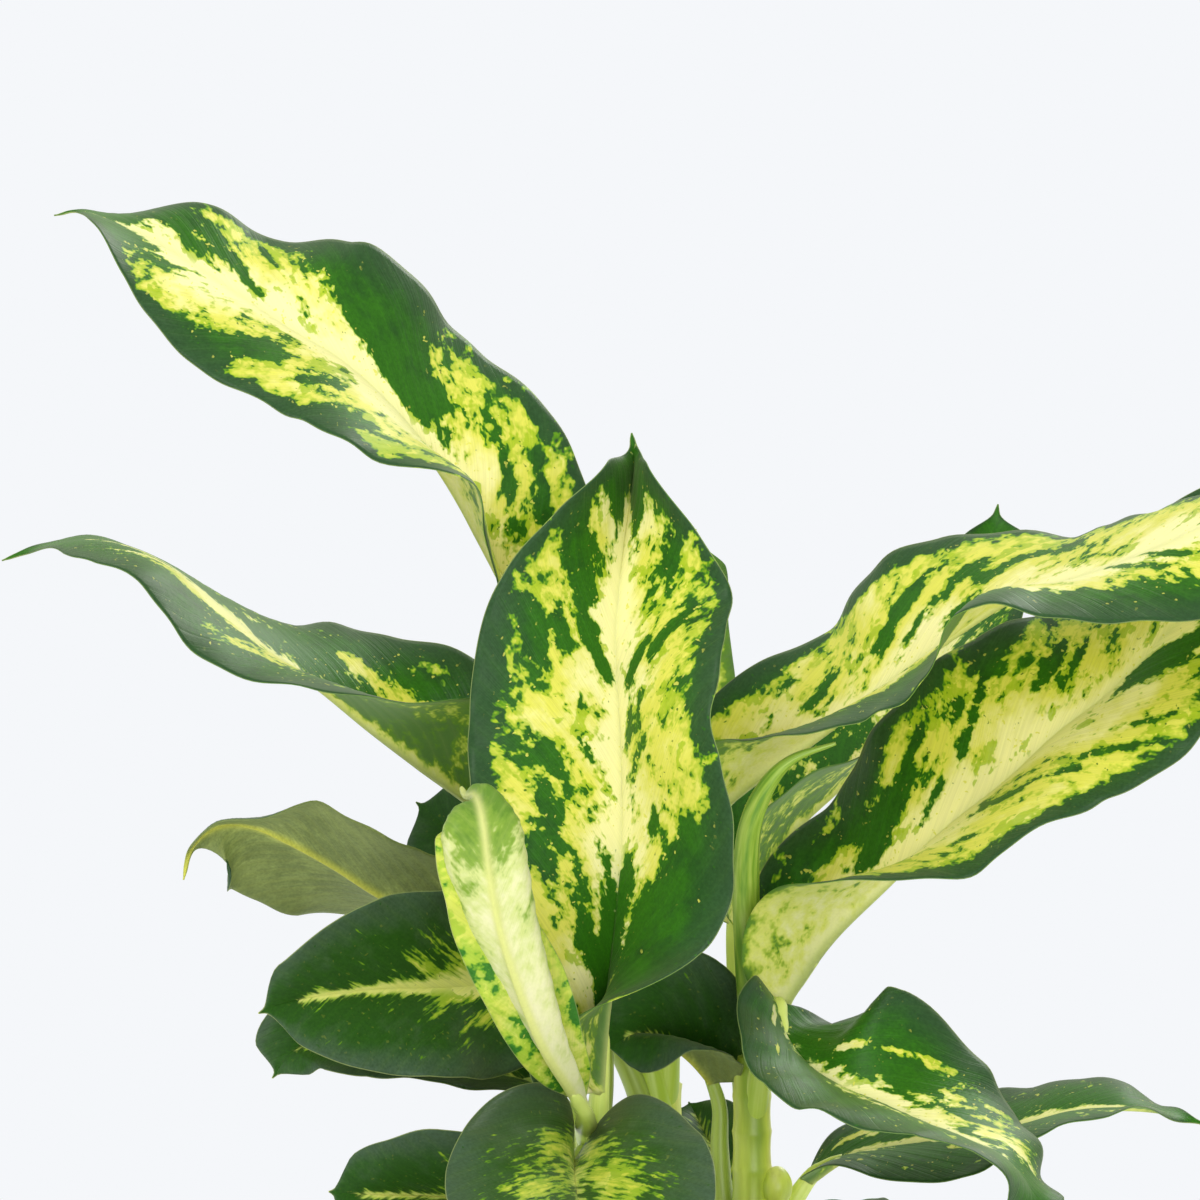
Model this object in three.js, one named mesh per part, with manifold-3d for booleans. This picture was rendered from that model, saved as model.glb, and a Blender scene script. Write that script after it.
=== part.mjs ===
// Potted dieffenbachia: a plain pot of soil, three canes, and leaves on their own stalks.
// Millimetres, +Z up, the pot stands on z = 0 and is centred on the origin.
// The best side of the plant faces -Y.
import * as THREE from 'three';
import { mergeVertices } from 'three/addons/utils/BufferGeometryUtils.js';
import Module from 'manifold-3d';

const wasm = await Module();
wasm.setup();

// Driving sizes
const POT_HEIGHT = 135;
const POT_TOP_RADIUS = 78;
const POT_BASE_RADIUS = 56;
const POT_WALL = 4;
const POT_FLOOR = 5;
const POT_SIDES = 32;
const SOIL_EDGE_HEIGHT = 118;
const SOIL_MOUND = 6;
const GAP = 0.3;
const CANE_FOOT = 62;
const CANE_SIDES = 10;
const SCAR_PITCH = 24;
const SCAR_SWELL = 0.7;
const CANE_SHOULDER = 0.6;
const BLADE_THICKNESS = 0.9;
const BLADE_ARCH = [-24, -24];
const BLADE_RIPPLE = [3, 2.5, 0];
const BLADE_POINT = [0.93, 0.985, 0.86];
const RIPPLE_GAIN = 1.6;
const LAG = 1.9;
const LOBE_SHARE = 0.4;
const TIP_HALF_WIDTH = 0.9;
const BASE_HALF_WIDTH = 3.2;
const RIB_DEPTH = 2.4;
const RIB_FADE = 0.8;
const HALF_BLADE_STRIPS = 3;
const BLADE_STRIP_LENGTH = 22;
const LEAST_BLADE_ROWS = 8;
const ROW_CROWDING = 0.4;
const STALK_SIDES = 8;
const STALK_RING_PITCH = 20;
const STALK_BASE_RADIUS = 5.6;
const STALK_TIP_RADIUS = 3.2;
const STALK_UNDER_BLADE = 0.1;
const STALK_END_DEPTH = 1.4;
const POT_EDGE = 1.5;
const LIP_EDGE = 1.2;

const TOWARDS_FRONT = [0, -1, 0];
const TOWARDS_BACK = [0, 1, 0];

// Canes: centre line from the soil up, radius at the foot and at the top.
const CANES = {
  front: { line: [[-20, -24, CANE_FOOT], [-24, -28, 140], [-24, -28, 183], [-23, -29, 208]], radii: [8, 6.5] },
  back: { line: [[4, 26, CANE_FOOT], [5, 28, 130], [4, 28, 180], [4, 30, 222]], radii: [8, 6.5] },
  right: { line: [[34, 1, CANE_FOOT], [36, 0, 132], [37, 0, 179], [37, -2, 234]], radii: [8.4, 7] },
};

// Leaves. Each row of `blade` is one station of the midrib, from the base to the tip:
// x, y, z, then how far the left and the right half fold up from the plane that `faces` names (degrees).
// `lobes`: how far the base of each half reaches back; `arches`: how far each half bends to its margin;
// `roll`: the share of a half in which it bends; `halves`: width of each half against half of `width`;
// `point`: where the drawn-out tip starts and ends, and how much of the width it takes off;
// `belly`: 1 where the blade is widest in its middle, more where it is widest nearer the tip.
const LEAVES = [
  {
    name: 'leaf_front_upright', cane: 'front', width: 120, lobes: [14, -34],
    faces: TOWARDS_FRONT, tint: 0x7f9f3a,
    stalk: [[-24, -29, 192], [-22, -36, 212]],
    blade: [
      [-21, -42, 226, 20, 130], [-19, -50, 254, 42, 108], [-16, -54, 284, 32, 52], [-13, -55, 318, 22, 42],
      [-13, -50, 355, 17, 56], [-15, -43, 388, 23, 45], [-14, -37, 410, 29, 34], [-12, -31, 430, 47, 49],
      [-8, -22, 459, 62, 80], [-9, -20, 472, 0, 0],
    ],
  },
  {
    name: 'leaf_high_left', cane: 'back', width: 108, lobes: [6, 6], faces: TOWARDS_FRONT, tint: 0x6f9440,
    point: [0.925, 0.975, 0.93],
    stalk: [[3, 29, 212], [-3, 38, 270], [-13, 38, 317]],
    blade: [
      [-37, 33, 372, 40, 40], [-45, 28, 391, 62, 20], [-56, 22, 411, 74, 0], [-66, 14, 430, 90, -6],
      [-80, 9, 455, 101, -27], [-97, 5, 478, 71, -48], [-118, 4, 498, 61, -37], [-139, 4, 511, 57, -36],
      [-162, 6, 526, 53, -59], [-189, 10, 543, 62, -55], [-216, 14, 555, 81, -81], [-229, 16, 554, 0, 0],
    ],
  },
  {
    name: 'leaf_long_left', cane: 'back', width: 110, stalkRadius: 8, lobes: [6, 6],
    faces: TOWARDS_FRONT, tint: 0x4d7440, point: [0.84, 0.98, 0.92],
    stalk: [[3, 27, 200], [-9, 24, 250], [-28, 24, 285]],
    blade: [
      [-48, 20, 307, 60, 60], [-69, 8, 329, 128, 6], [-89, -2, 345, 148, -16], [-108, -8, 360, 118, -51],
      [-126, -12, 375, 98, -68], [-145, -14, 389, 80, -80], [-164, -14, 406, 74, -91],
      [-183, -12, 421, 83, -99], [-201, -8, 429, 80, -100], [-218, -5, 431, 81, -90],
      [-234, -3, 428, 78, -78], [-248, 0, 423, 0, 0],
    ],
  },
  {
    name: 'leaf_under_left', cane: 'back', width: 76, lobes: [6, 6], faces: TOWARDS_BACK, tint: 0x6e7f58,
    point: [0.8, 0.96, 0.9],
    stalk: [[2, 27, 186], [-8, 20, 222], [-26, 16, 254]],
    blade: [
      [-44, 12, 269, 20, 30], [-63, 10, 278, -20, 50], [-82, 8, 285, -38, 60], [-103, 6, 294, -47, 65],
      [-122, 4, 306, -56, 47], [-140, 2, 316, -51, 36], [-154, 0, 322, -77, 27], [-167, -3, 322, -84, 12],
      [-176, -6, 314, -80, 68], [-179, -8, 302, 0, 0],
    ],
  },
  {
    name: 'leaf_dark_left', cane: 'front', width: 78, lobes: [6, 6], faces: TOWARDS_FRONT, tint: 0x47634c,
    stalk: [[-24, -28, 196], [-20, -14, 226], [-21, -5, 250]],
    blade: [
      [-30, -5, 262, 20, 20], [-46, -14, 265, 18, 8], [-62, -24, 264, 17, 4], [-83, -36, 264, 36, 11],
      [-103, -48, 265, 36, 15], [-123, -60, 264, 30, 19], [-138, -68, 262, 22, 26], [-147, -74, 259, 0, 0],
    ],
  },
  {
    name: 'leaf_behind_left', cane: 'front', width: 66, lobes: [6, 6], faces: TOWARDS_FRONT, tint: 0x566f50,
    stalk: [[-24, -27, 184], [-30, -14, 206]],
    blade: [
      [-40, -6, 222, 80, -20], [-57, -4, 227, 84, -30], [-78, -8, 233, 82, -30], [-99, -14, 237, 80, -30],
      [-119, -22, 240, 78, -30], [-135, -30, 240, 60, -30], [-144, -36, 230, 0, 0],
    ],
  },
  {
    name: 'leaf_low_left', cane: 'front', width: 76, lobes: [6, 6], faces: TOWARDS_FRONT, tint: 0x45614a,
    stalk: [[-24, -28, 160]],
    blade: [
      [-39, -29, 178, 45, 40], [-54, -33, 182, 45, 42], [-72, -38, 185, 45, 42], [-90, -44, 187, 40, 40],
      [-107, -50, 188, 30, 30], [-122, -56, 190, 0, 0],
    ],
  },
  {
    name: 'leaf_low_front', cane: 'front', width: 108, lobes: [42, 40],
    faces: [0, -0.5, 0.87], tint: 0x4f7a35,
    stalk: [[-24, -29, 182], [-26, -44, 202]],
    blade: [
      [-31, -64, 201, 54, 94], [-30, -92, 198, 41, 48], [-28, -122, 191, 28, 28], [-27, -150, 181, 22, 22],
      [-25, -172, 169, 16, 16], [-24, -188, 155, 0, 0],
    ],
  },
  {
    name: 'leaf_half_rolled', cane: 'front', width: 108, lobes: [6, 6], faces: TOWARDS_BACK, tint: 0xc9cf8a,
    halves: [1, 0.85], arches: [195, 130], roll: [0.18, 0.5, 0.12], ripple: [0, 1, 0], strips: 5,
    belly: 1.6, point: [0.72, 0.95, 0.85],
    stalk: [[-24, -30, 203], [-26, -54, 214]],
    blade: [
      [-27, -80, 224, 80, 115], [-32, -95, 234, 95, 128], [-41, -109, 250, 97, 126], [-49, -117, 270, 97, 112],
      [-57, -122, 295, 101, 84], [-61, -124, 316, 104, 62], [-63, -122, 332, 104, 50], [-65, -113, 340, 98, 40],
      [-67, -101, 342, 90, 35], [-70, -89, 341, 82, 35], [-72, -79, 343, 0, 0],
    ],
  },
  {
    name: 'leaf_back_left', cane: 'back', width: 76, lobes: [6, 6], faces: TOWARDS_FRONT, tint: 0x4a6a48,
    stalk: [[4, 29, 190], [-5, 46, 222]],
    blade: [
      [-16, 57, 246, 20, 20], [-31, 68, 265, 20, 20], [-46, 78, 284, 20, 20], [-64, 90, 300, 20, 20],
      [-80, 98, 312, 15, 15], [-94, 106, 322, 0, 0],
    ],
  },
  {
    name: 'leaf_right_top', cane: 'back', width: 110, lobes: [6, 6], faces: TOWARDS_FRONT, tint: 0x8fa540,
    stalk: [[4, 29, 205], [6, 20, 258], [8, 10, 300]],
    blade: [
      [16, 0, 322, -30, 100], [36, -8, 339, -20, 132], [55, -16, 353, -38, 116], [73, -24, 367, -56, 98],
      [92, -32, 382, -46, 86], [111, -42, 397, -57, 86], [132, -52, 411, -75, 100], [155, -62, 419, -76, 85],
      [180, -72, 429, -76, 65], [205, -82, 441, -78, 38], [229, -92, 453, -60, 45], [245, -97, 462, 0, 0],
    ],
  },
  {
    name: 'leaf_back_right', cane: 'right', width: 96, lobes: [6, 6], faces: TOWARDS_FRONT, tint: 0x4d6b45,
    stalk: [[37, 0, 190], [33, 22, 240]],
    blade: [
      [31, 35, 280, -10, 115], [42, 42, 301, -15, 120], [57, 50, 319, -25, 112], [75, 58, 335, -38, 95],
      [94, 66, 356, -50, 75], [110, 74, 377, -52, 65], [125, 82, 402, -62, 60], [133, 88, 424, -64, 50],
      [136, 92, 441, 0, 0],
    ],
  },
  {
    name: 'leaf_right_wide', cane: 'right', width: 112, lobes: [6, 6], faces: TOWARDS_FRONT, tint: 0x8aa63c,
    stalk: [[37, -1, 212], [43, -4, 236]],
    blade: [
      [48, -12, 255, -75, 150], [65, -20, 280, -20, 150], [85, -28, 301, -43, 116], [109, -34, 324, -32, 76],
      [131, -38, 342, -29, 73], [150, -40, 360, -38, 64], [170, -42, 376, -52, 57], [192, -44, 399, -62, 50],
      [212, -46, 422, -40, 42], [230, -48, 442, -25, 25], [244, -50, 456, 0, 0],
    ],
  },
  {
    name: 'leaf_front_right', cane: 'right', width: 94, lobes: [6, 16], faces: TOWARDS_FRONT, tint: 0x50743c,
    stalk: [[37, -2, 205], [41, -10, 238]],
    blade: [
      [46, -23, 257, -40, 70], [49, -34, 246, -30, 73], [57, -45, 236, -17, 80], [68, -57, 230, -16, 81],
      [83, -70, 225, -50, 80], [97, -82, 220, -66, 86], [113, -93, 215, -77, 88], [127, -102, 209, -79, 85],
      [136, -107, 198, -74, 72], [140, -110, 183, 0, 0],
    ],
  },
  {
    name: 'leaf_right_low', cane: 'right', width: 72, lobes: [6, 6], faces: TOWARDS_FRONT, tint: 0x54713f,
    point: [0.82, 0.97, 0.92],
    stalk: [[37, 0, 148], [50, 4, 172]],
    blade: [
      [59, 4, 186, -80, 110], [72, 0, 195, -70, 98], [88, -4, 199, -72, 80], [105, -8, 202, -71, 72],
      [123, -12, 206, -75, 71], [140, -16, 210, -78, 87], [157, -20, 215, -76, 90], [174, -24, 217, -77, 90],
      [192, -28, 216, -88, 92], [210, -32, 211, 0, 0],
    ],
  },
  {
    name: 'leaf_bent_centre', cane: 'right', width: 74, lobes: [6, 6], faces: TOWARDS_FRONT, tint: 0x44633a,
    stalk: [[35, 1, 148], [27, 8, 172], [25, 11, 196], [25, 12, 212]],
    blade: [
      [22, 11, 223, 120, 10], [14, 6, 232, 118, 5], [4, -3, 240, 105, 0], [-7, -15, 244, 85, 0],
      [-18, -26, 240, 0, 0],
    ],
  },
  {
    name: 'leaf_low_back', cane: 'right', width: 38, lobes: [6, 6], faces: [0, -0.8, 0.6], tint: 0x3f5c3c,
    stalk: [[36, 1, 156], [34, 20, 172]],
    blade: [
      [30, 36, 180, 25, 25], [26, 48, 187, 25, 25], [21, 60, 194, 20, 20], [17, 70, 201, 20, 20],
      [14, 77, 206, 0, 0],
    ],
  },
  {
    name: 'leaf_low_right', cane: 'right', width: 80, lobes: [20, 20], faces: [0, -0.45, 0.9], tint: 0x3f5c3c,
    stalk: [[37, 0, 148]],
    blade: [
      [39, -20, 164, 30, 30], [45, -45, 166, 28, 28], [52, -75, 168, 24, 24], [60, -102, 166, 20, 20],
      [67, -125, 160, 16, 16], [73, -142, 151, 0, 0],
    ],
  },
  {
    name: 'leaf_back_upright', cane: 'back', width: 80, lobes: [6, 6], faces: TOWARDS_BACK, tint: 0x5d7a4a,
    stalk: [[4, 30, 205], [4, 48, 242]],
    blade: [
      [3, 57, 264, 35, 35], [0, 67, 291, 35, 35], [-3, 78, 321, 35, 35], [0, 88, 352, 35, 35],
      [5, 95, 383, 35, 35], [12, 98, 409, 35, 35], [17, 98, 431, 0, 0],
    ],
  },
  {
    name: 'leaf_back_low', cane: 'back', width: 76, lobes: [14, 14], faces: [0, 0.45, 0.9], tint: 0x3f5c3c,
    stalk: [[4, 28, 176], [0, 42, 212]],
    blade: [
      [-5, 58, 228, 30, 30], [-9, 88, 238, 28, 28], [-14, 120, 246, 24, 24], [-19, 152, 246, 20, 20],
      [-23, 180, 238, 16, 16], [-26, 205, 224, 12, 12], [-28, 222, 204, 0, 0],
    ],
  },
];

// The youngest leaf, still rolled up into a spear: centre line with its radius in the last column.
const SPEAR = {
  name: 'leaf_spear', tint: 0x9dba52,
  line: [
    [37, -3, 236, 4.4], [36, -5, 254, 5], [35, -10, 274, 5.4], [34, -22, 300, 5.4], [35, -34, 323, 4.8],
    [41, -42, 340, 3.6], [51, -46, 351, 2], [67, -48, 357, 0.8],
  ],
};

const BUD = { at: [46.5, -4, 184], radius: 6, stretch: 1.25 };

const vec = (p) => new THREE.Vector3(p[0], p[1], p[2]);
const smooth = (points) => new THREE.CatmullRomCurve3(points.map(vec), false, 'catmullrom', 0.5);

function solidFromGeometry(geometry) {
  const bare = geometry.clone();
  bare.deleteAttribute('normal');
  bare.deleteAttribute('uv');
  const merged = mergeVertices(bare, 1e-4);
  return new wasm.Manifold(new wasm.Mesh({
    numProp: 3,
    vertProperties: new Float32Array(merged.attributes.position.array),
    triVerts: new Uint32Array(merged.index.array),
  }));
}

function geometryFromSolid(solid) {
  const mesh = solid.getMesh();
  const geometry = new THREE.BufferGeometry();
  geometry.setAttribute('position', new THREE.BufferAttribute(new Float32Array(mesh.vertProperties), 3));
  geometry.setIndex(new THREE.BufferAttribute(new Uint32Array(mesh.triVerts), 1));
  geometry.computeVertexNormals();
  return geometry;
}

function geometryFromLists(points, triangles) {
  const geometry = new THREE.BufferGeometry();
  const flat = points.flatMap((p) => [p.x, p.y, p.z]);
  geometry.setAttribute('position', new THREE.Float32BufferAttribute(flat, 3));
  geometry.setIndex(triangles.flat());
  return geometry;
}

// A round rod along a smooth line, closed at both ends; radiusAt takes 0 at the foot to 1 at the top.
function rod(points, radiusAt, rings, sides) {
  const curve = smooth(points);
  const frames = curve.computeFrenetFrames(rings, false);
  const shell = [];
  const triangles = [];
  for (let i = 0; i <= rings; i += 1) {
    const t = curve.getUtoTmapping(i / rings);
    const centre = curve.getPoint(t);
    for (let k = 0; k < sides; k += 1) {
      const turn = (2 * Math.PI * k) / sides;
      const out = frames.normals[i].clone().multiplyScalar(Math.cos(turn));
      out.addScaledVector(frames.binormals[i], Math.sin(turn));
      shell.push(centre.clone().addScaledVector(out, radiusAt(i / rings)));
    }
  }
  for (let i = 0; i < rings; i += 1) {
    for (let k = 0; k < sides; k += 1) {
      const a = i * sides + k;
      const b = i * sides + ((k + 1) % sides);
      triangles.push([a, b, a + sides], [b, b + sides, a + sides]);
    }
  }
  const foot = shell.push(curve.getPoint(0)) - 1;
  const top = shell.push(curve.getPoint(1)) - 1;
  for (let k = 0; k < sides; k += 1) {
    const next = (k + 1) % sides;
    triangles.push([foot, next, k], [top, rings * sides + k, rings * sides + next]);
  }
  return solidFromGeometry(geometryFromLists(shell, triangles));
}

// Half-width of a blade against its largest half-width, t from the base to the tip.
function outline(t, point, belly) {
  const [from, to, share] = point;
  const drawn = THREE.MathUtils.smoothstep(t, from, to);
  return Math.sin(Math.PI * t ** belly) ** (0.38 + 0.22 * t) * (1 - share * drawn);
}

// Midrib of a leaf by arc length: place, direction, side and upper normal, and the two fold angles.
function midribOf(leaf) {
  const curve = smooth(leaf.blade);
  const folds = smooth(leaf.blade.map((row) => [row[3], row[4], 0]));
  const facing = vec(leaf.faces).normalize();
  return (share) => {
    const t = curve.getUtoTmapping(share);
    const along = curve.getTangent(t);
    const side = facing.clone().cross(along).normalize();
    const fold = folds.getPoint(t);
    const up = along.clone().cross(side);
    return { place: curve.getPoint(t), along, side, up, left: fold.x, right: fold.y };
  };
}

// Middle sheet of a blade: rows along the midrib, each from the left margin over the midrib to the right one.
function bladeSheet(leaf, rows, strips) {
  const [leftArch, rightArch] = leaf.arches ?? BLADE_ARCH;
  const [leftShare, rightShare] = leaf.halves ?? [1, 1];
  const [rollFrom, rollTo, rollFade] = leaf.roll ?? [0, 1, 0.5];
  const [rippleAngle, rippleCount, ripplePhase] = leaf.ripple ?? BLADE_RIPPLE;
  const halfWidth = leaf.width / 2;
  const point = leaf.point ?? BLADE_POINT;
  const belly = leaf.belly ?? 1;
  const midrib = midribOf(leaf);
  const sheet = [];
  for (let i = 0; i <= rows; i += 1) {
    const even = i / rows;
    const t = even - (ROW_CROWDING * Math.sin(2 * Math.PI * even)) / (2 * Math.PI);
    const { place, along, side, up, left, right } = midrib(t);
    const least = t < 0.5 ? BASE_HALF_WIDTH : TIP_HALF_WIDTH;
    const reach = Math.max(halfWidth * (t > 0 && t < 1 ? outline(t, point, belly) : 0), least);
    const line = [place.clone()];
    const pair = [
      { sign: 1, half: reach * leftShare, fold: left, lobe: leaf.lobes[0], arch: leftArch, late: 0 },
      { sign: -1, half: reach * rightShare, fold: right, lobe: leaf.lobes[1], arch: rightArch, late: LAG },
    ];
    for (const { sign, half, fold, lobe, arch, late } of pair) {
      const walk = place.clone();
      for (let j = 1; j <= strips; j += 1) {
        const v = (j - 0.5) / strips;
        const wave = Math.sin(2 * Math.PI * rippleCount * t + ripplePhase + late);
        const swing = RIPPLE_GAIN * rippleAngle * wave * v * v;
        const turned = THREE.MathUtils.clamp((v - rollFrom) / (rollTo - rollFrom), 0, 1) - 0.5;
        const bend = arch * turned * Math.max(Math.sin(Math.PI * t), 0) ** rollFade;
        const angle = THREE.MathUtils.degToRad(fold + bend + swing);
        walk.addScaledVector(side, (sign * Math.cos(angle) * half) / strips);
        walk.addScaledVector(up, (Math.sin(angle) * half) / strips);
        const back = lobe * (reach / halfWidth) * Math.max(0, 1 - t / LOBE_SHARE) ** 2 * (j / strips) ** 1.5;
        const spot = walk.clone().addScaledVector(along, -back);
        if (sign > 0) {
          line.unshift(spot);
        } else {
          line.push(spot);
        }
      }
    }
    sheet.push(line);
  }
  return sheet;
}

// Closed thin solid of a blade; both faces are split into triangles alike, and the midrib stands out below.
function bladeSolid(leaf) {
  const length = smooth(leaf.blade).getLength();
  const rows = Math.max(LEAST_BLADE_ROWS, Math.round(length / BLADE_STRIP_LENGTH));
  const strips = leaf.strips ?? HALF_BLADE_STRIPS;
  const sheet = bladeSheet(leaf, rows, strips);
  const columns = 2 * strips + 1;
  const points = [];
  const triangles = [];
  for (const face of [1, -1]) {
    for (let i = 0; i <= rows; i += 1) {
      for (let j = 0; j < columns; j += 1) {
        const across = sheet[i][Math.min(j + 1, columns - 1)].clone().sub(sheet[i][Math.max(j - 1, 0)]);
        const along = sheet[Math.min(i + 1, rows)][j].clone().sub(sheet[Math.max(i - 1, 0)][j]);
        const normal = across.cross(along).normalize();
        const rib = face < 0 && j === strips ? RIB_DEPTH * (1 - RIB_FADE * (i / rows)) : 0;
        points.push(sheet[i][j].clone().addScaledVector(normal, face * BLADE_THICKNESS / 2 - rib));
      }
    }
  }
  const layer = (rows + 1) * columns;
  const at = (i, j) => i * columns + j;
  for (let i = 0; i < rows; i += 1) {
    for (let j = 0; j < columns - 1; j += 1) {
      const [a, b, c, d] = [at(i, j), at(i, j + 1), at(i + 1, j + 1), at(i + 1, j)];
      triangles.push([a, b, c], [a, c, d]);
      triangles.push([c + layer, b + layer, a + layer], [d + layer, c + layer, a + layer]);
    }
    for (const [a, b] of [[at(i + 1, 0), at(i, 0)], [at(i, columns - 1), at(i + 1, columns - 1)]]) {
      triangles.push([b, a, a + layer], [b, a + layer, b + layer]);
    }
  }
  for (let j = 0; j < columns - 1; j += 1) {
    for (const [a, b] of [[at(0, j), at(0, j + 1)], [at(rows, j + 1), at(rows, j)]]) {
      triangles.push([b, a, a + layer], [b, a + layer, b + layer]);
    }
  }
  return solidFromGeometry(geometryFromLists(points, triangles));
}

// Stalk of a leaf: from inside the cane, up to the blade and a short way along under its midrib.
function stalkSolid(leaf, grown) {
  const midrib = midribOf(leaf);
  const join = midrib(0);
  const end = midrib(STALK_UNDER_BLADE);
  const points = [...leaf.stalk];
  points.push(join.place.clone().addScaledVector(join.up, -STALK_TIP_RADIUS * 0.6).toArray());
  points.push(end.place.clone().addScaledVector(end.up, -STALK_END_DEPTH).toArray());
  const length = smooth(points).getLength();
  const rings = Math.max(4, Math.round(length / STALK_RING_PITCH));
  const foot = leaf.stalkRadius ?? STALK_BASE_RADIUS;
  const radiusAt = (t) => THREE.MathUtils.lerp(foot, STALK_TIP_RADIUS, Math.min(1, t * 1.1))
    * (t > 0.9 ? 0.75 : 1) + grown;
  return rod(points, radiusAt, rings, STALK_SIDES);
}

function caneSolid(cane, grown) {
  const length = smooth(cane.line).getLength();
  const scars = Math.round(length / SCAR_PITCH);
  const radiusAt = (t) => {
    const swell = Math.round(t * scars * 2) % 2 === 0 ? SCAR_SWELL : 0;
    const shoulder = t > 0.99 ? CANE_SHOULDER : 1;
    return THREE.MathUtils.lerp(cane.radii[0], cane.radii[1], t) * shoulder + swell + grown;
  };
  const line = cane.line.map((p) => [...p]);
  line[0][2] -= grown;
  line[line.length - 1][2] += grown;
  return rod(line, radiusAt, scars * 2, CANE_SIDES);
}

function paint(colour, roughness, metalness) {
  return new THREE.MeshStandardMaterial({ color: colour, roughness, metalness, side: THREE.DoubleSide });
}

const group = new THREE.Group();

function addNode(name, solid, material) {
  const mesh = new THREE.Mesh(geometryFromSolid(solid), material);
  mesh.name = name;
  group.add(mesh);
}

// Largest connected piece of a solid; cutting can leave loose scraps.
function mainPiece(solid) {
  return solid.decompose().reduce((best, piece) => (piece.volume() > best.volume() ? piece : best));
}

function potRadiusAt(z) {
  return THREE.MathUtils.lerp(POT_BASE_RADIUS, POT_TOP_RADIUS, z / POT_HEIGHT);
}

// Pot: one turned wall with a flat base and a rounded lip.
function makePot() {
  const inside = (z) => potRadiusAt(z) - POT_WALL;
  const profile = [
    [0, 0], [POT_BASE_RADIUS - POT_EDGE, 0], [potRadiusAt(POT_EDGE), POT_EDGE],
    [potRadiusAt(POT_HEIGHT - LIP_EDGE), POT_HEIGHT - LIP_EDGE], [POT_TOP_RADIUS - LIP_EDGE, POT_HEIGHT],
    [POT_TOP_RADIUS - POT_WALL + LIP_EDGE, POT_HEIGHT], [inside(POT_HEIGHT - LIP_EDGE), POT_HEIGHT - LIP_EDGE],
    [inside(POT_FLOOR), POT_FLOOR], [0, POT_FLOOR],
  ];
  const lathe = new THREE.LatheGeometry(profile.map(([r, z]) => new THREE.Vector2(r, z)), POT_SIDES);
  lathe.rotateX(Math.PI / 2);
  addNode('pot', solidFromGeometry(lathe), paint(0xdedbd3, 0.55, 0));
}

// Soil: fills the pot up to a low mound, with a plain hole for every cane.
function makeSoil() {
  const fill = (z) => potRadiusAt(z) - POT_WALL - 2 * GAP;
  const profile = [
    [0, POT_FLOOR + GAP], [fill(POT_FLOOR), POT_FLOOR + GAP], [fill(SOIL_EDGE_HEIGHT), SOIL_EDGE_HEIGHT],
    [fill(SOIL_EDGE_HEIGHT) - 14, SOIL_EDGE_HEIGHT + SOIL_MOUND * 0.5],
    [fill(SOIL_EDGE_HEIGHT) - 38, SOIL_EDGE_HEIGHT + SOIL_MOUND * 0.9],
    [0, SOIL_EDGE_HEIGHT + SOIL_MOUND],
  ];
  const lathe = new THREE.LatheGeometry(profile.map(([r, z]) => new THREE.Vector2(r, z)), POT_SIDES);
  lathe.rotateX(Math.PI / 2);
  let soil = solidFromGeometry(lathe);
  for (const cane of Object.values(CANES)) {
    soil = soil.subtract(caneSolid(cane, GAP));
  }
  addNode('soil', soil, paint(0x3a2a1e, 0.95, 0));
}

function makeCanes() {
  const bud = new THREE.SphereGeometry(BUD.radius, 10, 8);
  bud.rotateX(Math.PI / 2);
  bud.scale(1, 1, BUD.stretch);
  bud.translate(...BUD.at);
  for (const [name, cane] of Object.entries(CANES)) {
    let solid = caneSolid(cane, 0);
    if (name === 'right') {
      solid = solid.add(solidFromGeometry(bud));
    }
    addNode(`cane_${name}`, solid, paint(0x8fa25a, 0.6, 0));
  }
}

// Leaves: blade and stalk are one body; the foot of the stalk is cut back to clear the cane,
// and a stalk that started lower on the same cane is cut back where it would clasp a later one.
function makeLeaves() {
  const spearLine = SPEAR.line.map((row) => row.slice(0, 3));
  const spearRadius = (grown) => (t) => {
    const place = t * (SPEAR.line.length - 1);
    const low = Math.min(Math.floor(place), SPEAR.line.length - 2);
    return THREE.MathUtils.lerp(SPEAR.line[low][3], SPEAR.line[low + 1][3], place - low) + grown;
  };
  addNode(SPEAR.name, rod(spearLine, spearRadius(0), 16, 10), paint(SPEAR.tint, 0.45, 0));
  const order = [...LEAVES].sort((a, b) => b.stalk[0][2] - a.stalk[0][2]);
  const clearOf = {};
  for (const [name, cane] of Object.entries(CANES)) {
    clearOf[name] = [caneSolid(cane, GAP)];
  }
  clearOf.right.push(rod(spearLine, spearRadius(GAP), 16, 10));
  for (const leaf of order) {
    let stalk = stalkSolid(leaf, 0);
    for (const other of clearOf[leaf.cane]) {
      stalk = stalk.subtract(other);
    }
    clearOf[leaf.cane].push(stalkSolid(leaf, GAP));
    const whole = bladeSolid(leaf).add(stalk);
    addNode(leaf.name, mainPiece(whole), paint(leaf.tint, 0.45, 0));
  }
}

makePot();
makeSoil();
makeCanes();
makeLeaves();

export default group;
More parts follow.
